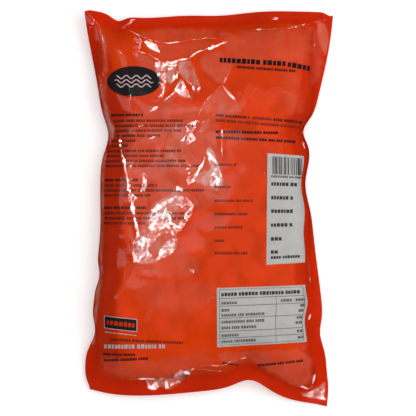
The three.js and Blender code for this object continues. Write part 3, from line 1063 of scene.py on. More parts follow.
    def crease(self) -> None:
        """Folds the film along each crease.

        A low tent stands over the line, and on it a strip of varying width is broken across into bits.
        """
        warp = Noise(41)
        draws = np.random.default_rng(43)
        for index, fold in enumerate(CREASES):
            points = np.array(fold.points, float)
            part = self.near(points, max(fold.ridge_width, 3.0) + 2.0)
            x = self.x[part] + fold.waver * warp.at(self.x[part] / 4.0, self.y[part] / 4.0)
            y = self.y[part] + fold.waver * warp.at(self.x[part] / 4.0 + 30.0, self.y[part] / 4.0)
            away, place, length = line_places(points, x, y)
            fade = smooth_step(np.minimum(place, length - place), -0.3 * fold.fade, fold.fade)
            tent = np.maximum(1.0 - away / fold.ridge_width, 0.0)
            self.heights[part] += fold.ridge * fade * tent
            count = max(1, round(length / fold.bit_length))
            breaks = np.linspace(0.0, length, count + 1)
            breaks[1:-1] += fold.bit_length * self.BREAK_STRAY * (draws.random(count - 1) - 0.5)
            lean = self.LEAN * fold.lean * draws.normal(size=(2, count))
            bit = np.clip(np.searchsorted(breaks, place) - 1, 0, count - 1)
            corners = np.concatenate([[0.0], np.cumsum(np.hypot(*np.diff(points, axis=0).T))])
            middles = (breaks[:-1] + breaks[1:]) / 2.0
            middle_x = np.interp(middles, corners, points[:, 0])[bit]
            middle_y = np.interp(middles, corners, points[:, 1])[bit]
            aim_x, aim_y = self.aim(fold.lamp, middle_x, middle_y)
            slopes = (aim_x + lean[0][bit], aim_y + lean[1][bit])
            flat = self.flat_bit(self.x[part], self.y[part], middle_x, middle_y, slopes) + fold.ridge * fade
            swell = 0.75 + 0.9 * warp.at(place / 5.0 + 13.0 * index, 0.0 * place + 0.5)
            half = 0.5 * fold.width * swell * (0.3 + 0.7 * fade)
            start, end = self.STRIP_EDGE
            self.lay(part, flat, slopes, 1.0 - smooth_step(away, half + start, half + end))

    def dulled(self) -> Array:
        """How dull the film is, so that its smooth form doesn't mirror a whole lamp.

        It is a half where the slopes are LAMP_REACH off a lamp's own, and falls by one for each LAMP_EDGE.

        Returns:
            The dullness of each cell, from 0 to 1.
        """
        slope_y, slope_x = np.gradient(self.heights, self.CELL)
        off = np.full(self.x.shape, np.inf)
        for lamp in Lamp:
            aim_x, aim_y = self.aim(lamp, self.x, self.y)
            off = np.minimum(off, np.hypot(slope_x - aim_x, slope_y - aim_y))
        return np.clip(0.5 + (self.LAMP_REACH - off) / self.LAMP_EDGE, 0.0, 1.0)

    def painted_haze_map(self) -> Array:
        """How much painted haze of reflected light the film's colour takes: the strongest outline's share at
        each place, broken up by soft noise.

        Returns:
            Its share in each cell: 0 none, 1 painted haze, 2 a paler painted haze with a fine painted
                sparkle.
        """
        noise = Noise(71)
        ragged = noise.at(self.x / 6.0, self.y / 6.0) + 0.5 * noise.at(self.x / 2.5 + 30.0, self.y / 2.5)
        painted_haze = np.zeros_like(self.x)
        for haze_patch in PAINTED_HAZES:
            outline = np.array(haze_patch.outline, float)
            part = self.near(outline, 3.0 * haze_patch.softness)
            depth = depth_inside(outline, self.x[part], self.y[part]) + haze_patch.softness * ragged[part]
            share = haze_patch.strength * smooth_step(depth, -haze_patch.softness, haze_patch.softness)
            painted_haze[part] = np.maximum(painted_haze[part], share)
        # Blotches and a fine grain break the painted haze up; the grain adds a painted sparkle where the haze
        # is strongest.
        mottled = 1.0 + 0.5 * noise.at(self.x / 9.0 + 90.0, self.y / 12.0)
        mottled += 0.4 * noise.at(self.x / 4.0, self.y / 5.0 + 60.0)
        grain = noise.at(self.x / 1.3 + 50.0, self.y / 1.7)
        grain += 0.7 * noise.at(self.x / 2.6, self.y / 3.2 + 20.0)
        return np.clip(painted_haze * mottled + 0.6 * grain * smooth_step(painted_haze, 0.9, 1.5), 0.0, 2.0)

    def sample(self, raster: Array, x: Array, y: Array) -> Array:
        """A raster's values at any places in plan."""
        return mixed(raster, (y - self.LOW[1]) / self.CELL, (x - self.LOW[0]) / self.CELL)

    def shading(self, x: Array, y: Array) -> Pair:
        """What the shading reads from the film at places in plan.

        Args:
            x: places in plan, as one row.
            y: places in plan, as one row.

        Returns:
            How crisply the film is folded, and its unit normals moved from -1..1 to 0..1.
        """
        slope_x, slope_y = self.sample(self.slope_x, x, y), self.sample(self.slope_y, x, y)
        upright = np.stack([-slope_x, -slope_y, np.ones_like(x)], axis=1)
        upright /= np.sqrt((upright**2).sum(1, keepdims=True))
        return self.sample(self.crisp, x, y), upright * 0.5 + 0.5


# ---- Finishes ----


@dataclass(frozen=True)
class Gloss:
    """Roughness of the smooth film, of its crisp folds, and where it would mirror a lamp whole."""

    smooth: float
    taut: float = 0.15
    matt: float = 1.0


class Recipe:
    """A material in the making: its node tree, its Principled shader and the nodes that finishes share."""

    CLOUD_RANGE = (0.3, 0.7)
    MATT_RANGE = (0.48, 0.52)

    def __init__(self, name: str) -> None:
        """Starts the material.

        Args:
            name: its name.
        """
        self.material = bpy.data.materials.new(name)
        self.material.use_nodes = True
        self.tree = self.material.node_tree
        self.shader = self.tree.nodes["Principled BSDF"]

    def node(self, kind: str, **settings: object) -> bpy.types.Node:
        """Adds a node.

        Args:
            kind: the node's type.
            **settings: properties of the node, by name.

        Returns:
            The node.
        """
        node = self.tree.nodes.new(kind)
        for name, value in settings.items():
            setattr(node, name, value)
        return node

    def feed(self, socket: Socket, value: Socket | float | tuple[float, ...]) -> None:
        """Links another socket's value into a socket, or sets it to a plain number or colour.

        Args:
            socket: the socket that takes the value.
            value: the other socket, the number or the colour.
        """
        if isinstance(value, Socket):
            self.tree.links.new(value, socket)
        else:
            socket.default_value = value

    def reading(self, attribute: str, output: str = "Fac") -> Socket:
        """What one of the mesh's attributes holds."""
        return self.node("ShaderNodeAttribute", attribute_name=attribute).outputs[output]

    def cloud(self, scale: float, detail: float = 2.0) -> Socket:
        """A cloud of soft noise on Object coordinates.

        Args:
            scale: how fine the cloud is.
            detail: how many finer clouds are laid over it.

        Returns:
            The cloud's value.
        """
        noise = self.node("ShaderNodeTexNoise")
        self.feed(noise.inputs["Scale"], scale)
        self.feed(noise.inputs["Detail"], detail)
        self.feed(noise.inputs["Vector"], self.node("ShaderNodeTexCoord").outputs["Object"])
        return noise.outputs["Fac"]

    def ranged(self, value: Socket, old: Point, new: Point) -> Socket:
        """A value moved from one range to another, and held at its ends.

        Args:
            value: the value.
            old: the ends of its range.
            new: what the ends become.

        Returns:
            The moved value.
        """
        mapped = self.node("ShaderNodeMapRange")
        for name, number in zip(("Value", "From Min", "From Max", "To Min", "To Max"), (value, *old, *new)):
            self.feed(mapped.inputs[name], number)
        return mapped.outputs[0]

    def tinted(self, share: Socket, under: Socket | tuple[float, ...], colour: Colour) -> Socket:
        """A colour mixed over another one.

        Args:
            share: how much of the colour shows.
            under: the other colour.
            colour: the colour.

        Returns:
            The mixed colour.
        """
        mix = self.node("ShaderNodeMix", data_type="RGBA")
        for place, value in ((0, share), (6, under), (7, (*colour, 1))):
            self.feed(mix.inputs[place], value)
        return mix.outputs[2]

    def lay_colour(self, colour: Socket | Colour, scale: float, detail: float, shades: Point) -> None:
        """Sets the shader's colour to a colour times a cloud of shade.

        Args:
            colour: the colour.
            scale: how fine the cloud is.
            detail: how many finer clouds are laid over it.
            shades: the darkest and the lightest shade.
        """
        scaled = self.node("ShaderNodeVectorMath", operation="SCALE")
        self.feed(scaled.inputs[0], colour)
        self.feed(scaled.inputs["Scale"], self.ranged(self.cloud(scale, detail), self.CLOUD_RANGE, shades))
        self.feed(self.shader.inputs["Base Color"], scaled.outputs[0])

    def lay_gloss(self, gloss: Gloss) -> None:
        """Sets the shader's roughness: matt where that attribute is over a half, and taut where crisp is 1.

        Args:
            gloss: the roughnesses.
        """
        dulled = self.ranged(self.reading("matt"), self.MATT_RANGE, (gloss.smooth, gloss.matt))
        tightened = self.node("ShaderNodeMix", data_type="FLOAT")
        for place, value in ((0, self.reading("crisp")), (2, dulled), (3, gloss.taut)):
            self.feed(tightened.inputs[place], value)
        self.feed(self.shader.inputs["Roughness"], tightened.outputs[0])

    def folds(self, strength: Socket | float = 1.0) -> Socket:
        """The film's own normals, from the attribute facing.

        Args:
            strength: how far they replace the mesh's.

        Returns:
            The normals.
        """
        folded = self.node("ShaderNodeNormalMap", space="OBJECT")
        self.feed(folded.inputs["Color"], self.reading("facing", "Color"))
        self.feed(folded.inputs["Strength"], strength)
        return folded.outputs[0]


@dataclass(frozen=True)
class FilmFinish:
    """Glossy orange-red printed film, with its folds in the attribute facing.

    Its colour shifts where it touches the filling and on its welds; a painted shade darkens its steep sides,
    and a painted haze of reflected light, paler where it is strongest, lies on parts of it.
    """

    loose: Colour = (0.60, 0.036, 0.001)
    touching: Colour = (0.74, 0.046, 0.003)
    welded: Colour = (0.61, 0.021, 0.001)
    # Painted shade: the darker colour of the steep sides.
    flank_shade: Colour = (0.58, 0.026, 0.002)
    # Colours of the painted haze of reflected light, and of its paler strongest form.
    painted_haze: Colour = (0.68, 0.110, 0.060)
    painted_strong_haze: Colour = (0.72, 0.32, 0.28)
    cloud_scale: float = 38.0
    shades: Point = (0.90, 1.08)
    gloss: Gloss = Gloss(0.125)
    grain_scale: float = 420.0
    grain_strength: float = 0.25
    grain_height: float = 0.0002

    def material(self) -> bpy.types.Material:
        """Builds the film's material from the mesh's own attributes and from Object coordinates.

        Returns:
            The material: each tint lies over the one before by its attribute's share.
        """
        recipe = Recipe("printed_film")
        painted_haze = recipe.reading("painted_haze")
        colour = (*self.loose, 1)
        for share, tint in (
            (recipe.reading("contact"), self.touching),
            # Painted shade on the steep sides.
            (recipe.reading("steep"), self.flank_shade),
            (recipe.reading("weld"), self.welded),
            # Painted haze of reflected light, paler where it is strongest.
            (painted_haze, self.painted_haze),
            (recipe.ranged(painted_haze, (1.0, 2.0), (0.0, 1.0)), self.painted_strong_haze),
        ):
            colour = recipe.tinted(share, colour, tint)
        recipe.lay_colour(colour, self.cloud_scale, 3.0, self.shades)
        recipe.lay_gloss(self.gloss)
        bump = recipe.node("ShaderNodeBump")
        for name, value in (
            ("Strength", self.grain_strength), ("Distance", self.grain_height),
            ("Height", recipe.cloud(self.grain_scale, 3.0)),
            ("Normal", recipe.folds(recipe.reading("crisp"))),
        ):
            recipe.feed(bump.inputs[name], value)
        recipe.feed(recipe.shader.inputs["Normal"], bump.outputs[0])
        return recipe.material


@dataclass(frozen=True)
class InkFinish:
    """Ink printed on the film, as glossy as the film, slightly uneven in its colour."""

    name: str
    colour: Colour
    unevenness: float = 0.12
    cloud_scale: float = 160.0
    gloss: Gloss = Gloss(0.13)

    def material(self) -> bpy.types.Material:
        """Builds the ink's material: its colour times a fine cloud of shade.

        Returns:
            The material.
        """
        recipe = Recipe(self.name)
        shades = (1.0 - self.unevenness, 1.0 + self.unevenness)
        recipe.lay_colour(self.colour, self.cloud_scale, 4.0, shades)
        recipe.lay_gloss(self.gloss)
        recipe.feed(recipe.shader.inputs["Normal"], recipe.folds())
        return recipe.material


class Ink(Enum):
    """The inks of the print, each with its finish."""

    TEXT = InkFinish("text_ink", (0.200, 0.026, 0.014))
    BOLD = InkFinish("bold_ink", (0.060, 0.018, 0.018))
    BLACK = InkFinish("black_ink", (0.018, 0.014, 0.016))
    PALE = InkFinish("pale_panel_ink", (0.50, 0.49, 0.47), 0.04)
    RULED = InkFinish("panel_text_ink", (0.16, 0.155, 0.155))
    STAMPED = InkFinish("panel_bold_ink", (0.050, 0.048, 0.050))
    SILVER = InkFinish("pale_motif_ink", (0.60, 0.44, 0.43))
    ORANGE = InkFinish("film_coloured_ink", (0.58, 0.040, 0.006))


# ---- Mesh making ----


def make_piece(name: str, vertices: Array, faces: Array, material: bpy.types.Material) -> Piece:
    """A mesh object at the origin from whole arrays.

    Args:
        name: the piece's name.
        vertices: one row of x, y, z in metres for each vertex.
        faces: one row of four vertex numbers for each face; a triangle repeats none and ends in -1.
        material: the piece's material.

    Returns:
        The object, shaded smooth and linked to the scene.
    """
    mesh = bpy.data.meshes.new(name)
    sides = np.where(faces[:, 3] < 0, 3, 4)
    corners = faces.ravel()
    corners = corners[corners >= 0]
    starts = np.concatenate([[0], np.cumsum(sides)[:-1]])
    mesh.vertices.add(len(vertices))
    mesh.vertices.foreach_set("co", np.ascontiguousarray(vertices, dtype=np.float32).ravel())
    mesh.loops.add(len(corners))
    mesh.loops.foreach_set("vertex_index", corners.astype(np.int32))
    mesh.polygons.add(len(faces))
    mesh.polygons.foreach_set("loop_start", starts.astype(np.int32))
    mesh.polygons.foreach_set("use_smooth", np.ones(len(faces), dtype=bool))
    mesh.update(calc_edges=True)
    mesh.validate()
    mesh.materials.append(material)
    piece = bpy.data.objects.new(name, mesh)
    bpy.context.scene.collection.objects.link(piece)
    return piece


def write_marks(piece: Piece, marks: dict[str, Array], facing: Array) -> None:
    """Writes attributes on a piece's vertices.

    Args:
        piece: the piece.
        marks: one number for each vertex, by the attribute's name.
        facing: the unit normals moved from -1..1 to 0..1, one row for each vertex.
    """
    for name, values in marks.items():
        layer = piece.data.attributes.new(name, "FLOAT", "POINT")
        layer.data.foreach_set("value", values.astype(np.float32))
    layer = piece.data.attributes.new("facing", "FLOAT_VECTOR", "POINT")
    layer.data.foreach_set("vector", facing.astype(np.float32).ravel())


def grid_faces(rows: int, columns: int, offset: int = 0, inward: bool = False) -> Array:
    """Faces of a grid of cells.

    Args:
        rows: how many rows of cells it has.
        columns: how many columns.
        offset: its first vertex's number.
        inward: whether the faces run clockwise seen from above, as an under side's do.

    Returns:
        Four vertex numbers for each cell.
    """
    row, column = np.meshgrid(np.arange(rows), np.arange(columns), indexing="ij")
    a = (row * (columns + 1) + column).ravel() + offset
    quads = np.column_stack([a, a + 1, a + columns + 2, a + columns + 1])
    return quads[:, ::-1] if inward else quads


def grid_outline(rows: int, columns: int) -> Array:
    """The vertices round a grid's edge.

    Args:
        rows: how many rows of cells the grid has.
        columns: how many columns.

    Returns:
        Their numbers, anticlockwise seen from above, from the first one on.
    """
    wide = columns + 1
    bottom = np.arange(columns)
    right = np.arange(rows) * wide + columns
    top = rows * wide + np.arange(columns, 0, -1)
    left = np.arange(rows, 0, -1) * wide
    return np.concatenate([bottom, right, top, left])


class Pouch:
    """The film of the whole pouch: a fine upper side, a coarser under side and the cut edge between them."""

    COLUMNS = 76
    ROWS = 128
    FINER = 3
    BAND_THICKNESS = 0.5
    CRUMPLED_ACROSS = ((0.13, 0.66), (0.90, 0.99))
    CRUMPLED_ALONG = ((0.02, 0.12), (0.36, 0.95))
    DENSER = 1.3
    WALL = 4.2
    SQUEEZE = 2.0
    BLEND = 0.05
    # Over this steepness the painted shade of the steep sides fades in.
    FLANK_SHADE_RANGE = (0.20, 0.60)
    BUCKLE = 22.0
    BUCKLE_HEIGHT = 1.4
    DOWNWARDS = (0.5, 0.5, 0.0)

    def __init__(self, pillow: Pillow, film: UpperFilm, centre: Point) -> None:
        """Works out the upper side's grid.

        Args:
            pillow: the filled form.
            film: the upper film's raster.
            centre: the plan place that becomes the origin.
        """
        self.pillow = pillow
        self.film = film
        self.centre = centre
        self.across = self.shares(self.COLUMNS * self.FINER, self.CRUMPLED_ACROSS)
        self.along = self.shares(self.ROWS * self.FINER, self.CRUMPLED_ALONG)
        self.upper_x, self.upper_y = pillow.place(*np.meshgrid(self.across, self.along))
        self.upper_z = film.sample(film.heights, self.upper_x, self.upper_y) + self.BAND_THICKNESS / 2

    def surface(self, x: Array, y: Array) -> Array:
        """Height of the upper side's mesh, from the shares across and along of places in plan.

        Args:
            x: places in plan.
            y: places in plan.

        Returns:
            The height at each place, in millimetres.
        """
        across = (x - LEFT_EDGE.at(y)) / (RIGHT_EDGE.at(y) - LEFT_EDGE.at(y))
        along = (y - BOTTOM_EDGE.at(x)) / (TOP_EDGE.at(x) - BOTTOM_EDGE.at(x))
        column = np.interp(across, self.across, np.arange(self.across.size))
        row = np.interp(along, self.along, np.arange(self.along.size))
        return mixed(self.upper_z, row, column)

    def off_the_wall(self, x: Array, y: Array) -> Array:
        """Keeps places off the steep right wall.

        Past the wall's start, the way past it becomes SQUEEZE times the tanh of itself over SQUEEZE.

        Args:
            x: places in plan.
            y: places in plan.

        Returns:
            The places' x, drawn in where they would come onto the wall.
        """
        start = RIGHT_EDGE.at(y) - self.WALL - self.SQUEEZE
        return np.minimum(x, start + self.SQUEEZE * np.tanh(np.maximum(x - start, 0.0) / self.SQUEEZE))

    def shares(self, count: int, crumpled: tuple[Point, ...]) -> Array:
        """Shares from 0 to 1, closer together over the crumpled stretches.

        The spacing is one over a density, which rises smoothly from 1 to 1 + DENSER over each stretch.

        Args:
            count: how many steps the shares make.
            crumpled: where each crumpled stretch starts and ends.

        Returns:
            The shares, one more than the steps.
        """
        fine = np.linspace(0.0, 1.0, 4001)
        density = np.ones_like(fine)
        for start, end in crumpled:
            rise = smooth_step(fine, start - self.BLEND, start)
            density += self.DENSER * rise * (1.0 - smooth_step(fine, end, end + self.BLEND))
        total = np.concatenate([[0.0], np.cumsum((density[1:] + density[:-1]) / 2.0)])
        return np.interp(np.linspace(0.0, total[-1], count + 1), total, fine)

    def build(self) -> Piece:
        """Makes the closed film.

        The upper side's height is the film raster's and the under side's is the sagging form's. Each of the
        under side's edge cells meets three of the upper side's in a fan of triangles.

        Returns:
            The piece, with the attributes that its material reads.
        """
        under_x, under_y = self.pillow.place(*np.meshgrid(
            self.shares(self.COLUMNS, self.CRUMPLED_ACROSS), self.shares(self.ROWS, self.CRUMPLED_ALONG)
        ))
        under_z = self.pillow.back(under_x, under_y) + self.under_relief(under_x, under_y)
        under_z = np.maximum(under_z - self.BAND_THICKNESS / 2, 0.0)
        upper = np.column_stack([self.upper_x.ravel(), self.upper_y.ravel(), self.upper_z.ravel()])
        under = np.column_stack([under_x.ravel(), under_y.ravel(), under_z.ravel()])
        rows, columns = self.ROWS * self.FINER, self.COLUMNS * self.FINER
        fine = grid_outline(rows, columns)
        coarse = grid_outline(self.ROWS, self.COLUMNS) + len(upper)
        faces = np.concatenate([
            grid_faces(rows, columns), grid_faces(self.ROWS, self.COLUMNS, len(upper), inward=True),
            self.edge(fine, coarse),
        ])
        vertices = np.concatenate([upper, under])
        vertices[:, :2] -= self.centre
        piece = make_piece("pouch_film", vertices * MM, faces, FilmFinish().material())
        self.sharpen(piece, fine, coarse)
        self.mark(piece, under_x, under_y)
        return piece

    def edge(self, fine: Array, coarse: Array) -> Array:
        """The cut edge's faces: for each coarse step one triangle below and a fan to its fine steps above.

        Args:
            fine: the upper outline's vertices.
            coarse: the under outline's vertices.

        Returns:
            Three vertex numbers for each triangle, and -1.
        """
        following = np.roll(coarse, -1)
        first, second, third = (fine[step :: self.FINER] for step in range(self.FINER))
        none = np.full(len(coarse), -1)
        fan = (
            (coarse, second, first), (coarse, following, third), (coarse, third, second),
            (following, np.roll(first, -1), third),
        )
        return np.concatenate([np.column_stack([*corners, none]) for corners in fan])

    def sharpen(self, piece: Piece, *outlines: Array) -> None:
        """Marks the edges along some outlines as sharp, so that the cut edge is shaded apart.

        Args:
            piece: the film.
            *outlines: the vertices of each outline.
        """
        mesh = piece.data
        pairs = np.empty(len(mesh.edges) * 2, dtype=np.int32)
        mesh.edges.foreach_get("vertices", pairs)
        ends = pairs.reshape(-1, 2)
        sharp = np.logical_or.reduce([np.isin(ends, outline).all(1) for outline in outlines])
        layer = mesh.attributes.new("sharp_edge", "BOOLEAN", "EDGE")
        layer.data.foreach_set("value", sharp)

    def mark(self, piece: Piece, under_x: Array, under_y: Array) -> None:
        """Writes where the film touches the filling, is welded, crisply folded, steep, matt, and where its
        painted haze of reflected light lies.

        Args:
            piece: the film.
            under_x: the under side's places.
            under_y: the under side's places.
        """
        film, x, y = self.film, self.upper_x, self.upper_y
        resting = smooth_step(self.pillow.fullness(under_x, under_y), 0.3, 0.9)
        bare = np.zeros_like(under_x)
        sides = {
            "contact": (film.sample(film.contact, x, y), resting),
            "weld": (self.weld(x, y), self.weld(under_x, under_y)),
            "crisp": (film.sample(film.crisp, x, y), bare),
            # How much painted shade the steep sides take.
            "steep": (smooth_step(film.sample(film.steepness, x, y), *self.FLANK_SHADE_RANGE), bare),
            "matt": (film.sample(film.matt, x, y), bare),
            # Share of the painted haze of reflected light.
            "painted_haze": (film.sample(film.painted_haze, x, y), bare),
        }
        marks = {name: np.concatenate([side.ravel() for side in pair]) for name, pair in sides.items()}
        facing = film.shading(x.ravel(), y.ravel())[1]
        write_marks(piece, marks, np.concatenate([facing, np.tile(self.DOWNWARDS, (under_x.size, 1))]))

    def weld(self, x: Array, y: Array) -> Array:
        """1 on the welded band and 0 inside it, over a short step."""
        least = np.minimum.reduce(list(self.pillow.insets(x, y).values()))
        return 1.0 - smooth_step(least, -1.0, 3.0)

    def under_relief(self, x: Array, y: Array) -> Array:
        """Soft buckles of the under film's flanks, which die away where it lies flat.

        Args:
            x: places in plan.
            y: places in plan.

        Returns:
            What they add to the under side's height.
        """
        free = smooth_step(self.pillow.back(x, y), 0.0, 4.0)
        free *= smooth_step(self.pillow.fullness(x, y), 0.0, 0.3)
        return self.BUCKLE_HEIGHT * Noise(53).at(x / self.BUCKLE, y / self.BUCKLE) * free


# ---- The print: thin ink on the film ----


@dataclass(frozen=True)
class Row:
    """A row of plain blocks: the ends of its middle line, and its height."""

    start: Point
    end: Point
    height: float


@dataclass(frozen=True)
class Panel:
    """A pale printed field by its four corners, with waves where the buckled film shifts its right edge."""

    name: str
    lower_left: Point
    lower_right: Point
    upper_left: Point
    upper_right: Point
    waves: tuple[Wave, ...]

    def place(self, across: Array, along: Array) -> Pair:
        """Plan places for shares across and along the field: the corners mixed, plus the waves' shifts.

        Args:
            across: 0 on the left edge to 1 on the right one.
            along: 0 on the lower edge to 1 on the upper one.

        Returns:
            The x and y of each place, in millimetres.
        """
        corners = np.array([self.lower_left, self.lower_right, self.upper_left, self.upper_right], float)
        weights = ((1 - across) * (1 - along), across * (1 - along), (1 - across) * along, across * along)
        x = sum(weight * corner[0] for weight, corner in zip(weights, corners))
        y = sum(weight * corner[1] for weight, corner in zip(weights, corners))
        for wave in self.waves:
            x = x + wave.shift * across**3 * bell(along - wave.at, wave.reach)
        return x, y

    def spot(self, across: float, along: float) -> Point:
        """One place on the field."""
        x, y = self.place(np.array(across), np.array(along))
        return float(x), float(y)

    def row(self, across: tuple[float, float], along: float, height: float) -> Row:
        """A row of blocks along the field, from one share across to another."""
        return Row(self.spot(across[0], along), self.spot(across[1], along), height)


class InkLayer:
    """Thin pieces of one ink, gathered into one mesh that lies on the film."""

    DEPTH = 0.3
    STEEPEST = 3.0
    WORD_LENGTHS = (3, 10)
    BLOCK_WIDTHS = (0.45, 0.85)
    BLOCK_TOPS = (0.38, 0.50)
    BLOCK_FOOT = -0.5
    BLOCK_GAP = 0.17
    WORD_GAP = 0.55

    def __init__(self, pouch: Pouch, ink: Ink, lift: float) -> None:
        """Starts an empty layer.

        Args:
            pouch: the film's mesh, on which the ink lies.
            ink: its ink.
            lift: how far its upper face stands over the film, in millimetres.
        """
        self.pouch = pouch
        self.ink = ink
        self.lift = lift
        self.patches: list[Pair] = []

    def field(self, x: Array, y: Array) -> None:
        """Adds a grid of places, its rows going up and its columns to the right."""
        self.patches.append((x, y))

    def oval(self, middle: Point, half: Point, cells: int) -> None:
        """Adds an oval: a square grid from -1 to 1 bent round by u times the root of 1 - v^2 / 2, and back.

        Args:
            middle: its middle.
            half: half its width and half its height.
            cells: how many rows of cells it has, with twice as many columns.
        """
        u, v = np.meshgrid(np.linspace(-1, 1, cells * 2 + 1), np.linspace(-1, 1, cells + 1))
        x = middle[0] + half[0] * u * np.sqrt(1 - v**2 / 2)
        self.field(x, middle[1] + half[1] * v * np.sqrt(1 - u**2 / 2))

    def ribbon(self, points: Array, width: float) -> None:
        """Adds a strip: half its width to each side of a line.

        Args:
            points: the line's places, which run to the right or down.
            width: the strip's width.
        """
        run = np.gradient(points, axis=0)
        run /= np.hypot(*run.T)[:, None]
        side = np.stack([-run[:, 1], run[:, 0]], axis=1) * width / 2
        both = np.stack([points - side, points + side])
        self.field(both[..., 0], both[..., 1])

    def row(self, row: Row, draws: np.random.Generator) -> None:
        """Adds a row of plain blocks in seeded groups, drawn out to end where the row ends.

        Args:
            row: where the row lies and how high it is.
            draws: the generator of its sizes.
        """
        start, end = np.array(row.start), np.array(row.end)
        length = math.dist(start, end)
        most = int(length / (0.5 * row.height)) + 2
        widths = row.height * draws.uniform(*self.BLOCK_WIDTHS, most)
        gaps = np.full(most, self.BLOCK_GAP * row.height)
        words = np.cumsum(draws.integers(*self.WORD_LENGTHS, most)).clip(0, most - 1)
        gaps[words] = self.WORD_GAP * row.height
        ends = np.cumsum(widths + gaps) - gaps
        count = max(1, int((ends < length).sum()))
        scale = length / ends[count - 1]
        along = (end - start) / length
        upright = np.array([-along[1], along[0]])
        tall = row.height * draws.uniform(*self.BLOCK_TOPS, count)
        foot = self.BLOCK_FOOT * row.height
        for width, stop, top in zip(widths[:count] * scale, ends[:count] * scale, tall):
            across, up = np.meshgrid(np.linspace(stop - width, stop, 3), np.linspace(foot, top, 3))
            x = start[0] + across * along[0] + up * upright[0]
            self.field(x, start[1] + across * along[1] + up * upright[1])

    def build(self, name: str) -> Piece:
        """Makes the layer's mesh: each patch is a closed slab whose faces follow the film.

        Args:
            name: the piece's name.

        Returns:
            The piece, with the film's folds in its attributes.
        """
        vertices, faces, count = [], [], 0
        film = self.pouch.film
        for wanted, y in self.patches:
            x = self.pouch.off_the_wall(wanted, y)
            rows, columns = x.shape[0] - 1, x.shape[1] - 1
            steep = np.minimum(film.sample(film.steepness, x, y), self.STEEPEST)
            top = (self.pouch.surface(x, y) + self.lift * np.sqrt(1.0 + steep**2)).ravel()
            for z in (top, top - self.DEPTH):
                vertices.append(np.column_stack([x.ravel(), y.ravel(), z]))
            rim = grid_outline(rows, columns) + count
            following = np.roll(rim, -1)
            faces.append(grid_faces(rows, columns, count))
            faces.append(grid_faces(rows, columns, count + x.size, inward=True))
            faces.append(np.column_stack([rim + x.size, following + x.size, following, rim]))
            count += 2 * x.size
        places = np.concatenate(vertices)
        crisp, facing = film.shading(places[:, 0], places[:, 1])
        matt = film.sample(film.matt, places[:, 0], places[:, 1])
        places[:, :2] -= self.pouch.centre
        piece = make_piece(name, places * MM, np.concatenate(faces), self.ink.value.material())
        write_marks(piece, {"crisp": crisp, "matt": matt}, facing)
        return piece


@dataclass(frozen=True)
class Paragraph:
    """Rows of small blocks one under the other: the first row's height on the panel, and each one's run."""

    name: str
    ink: Ink
    top: float
    spacing: float
    runs: tuple[tuple[float, float], ...]


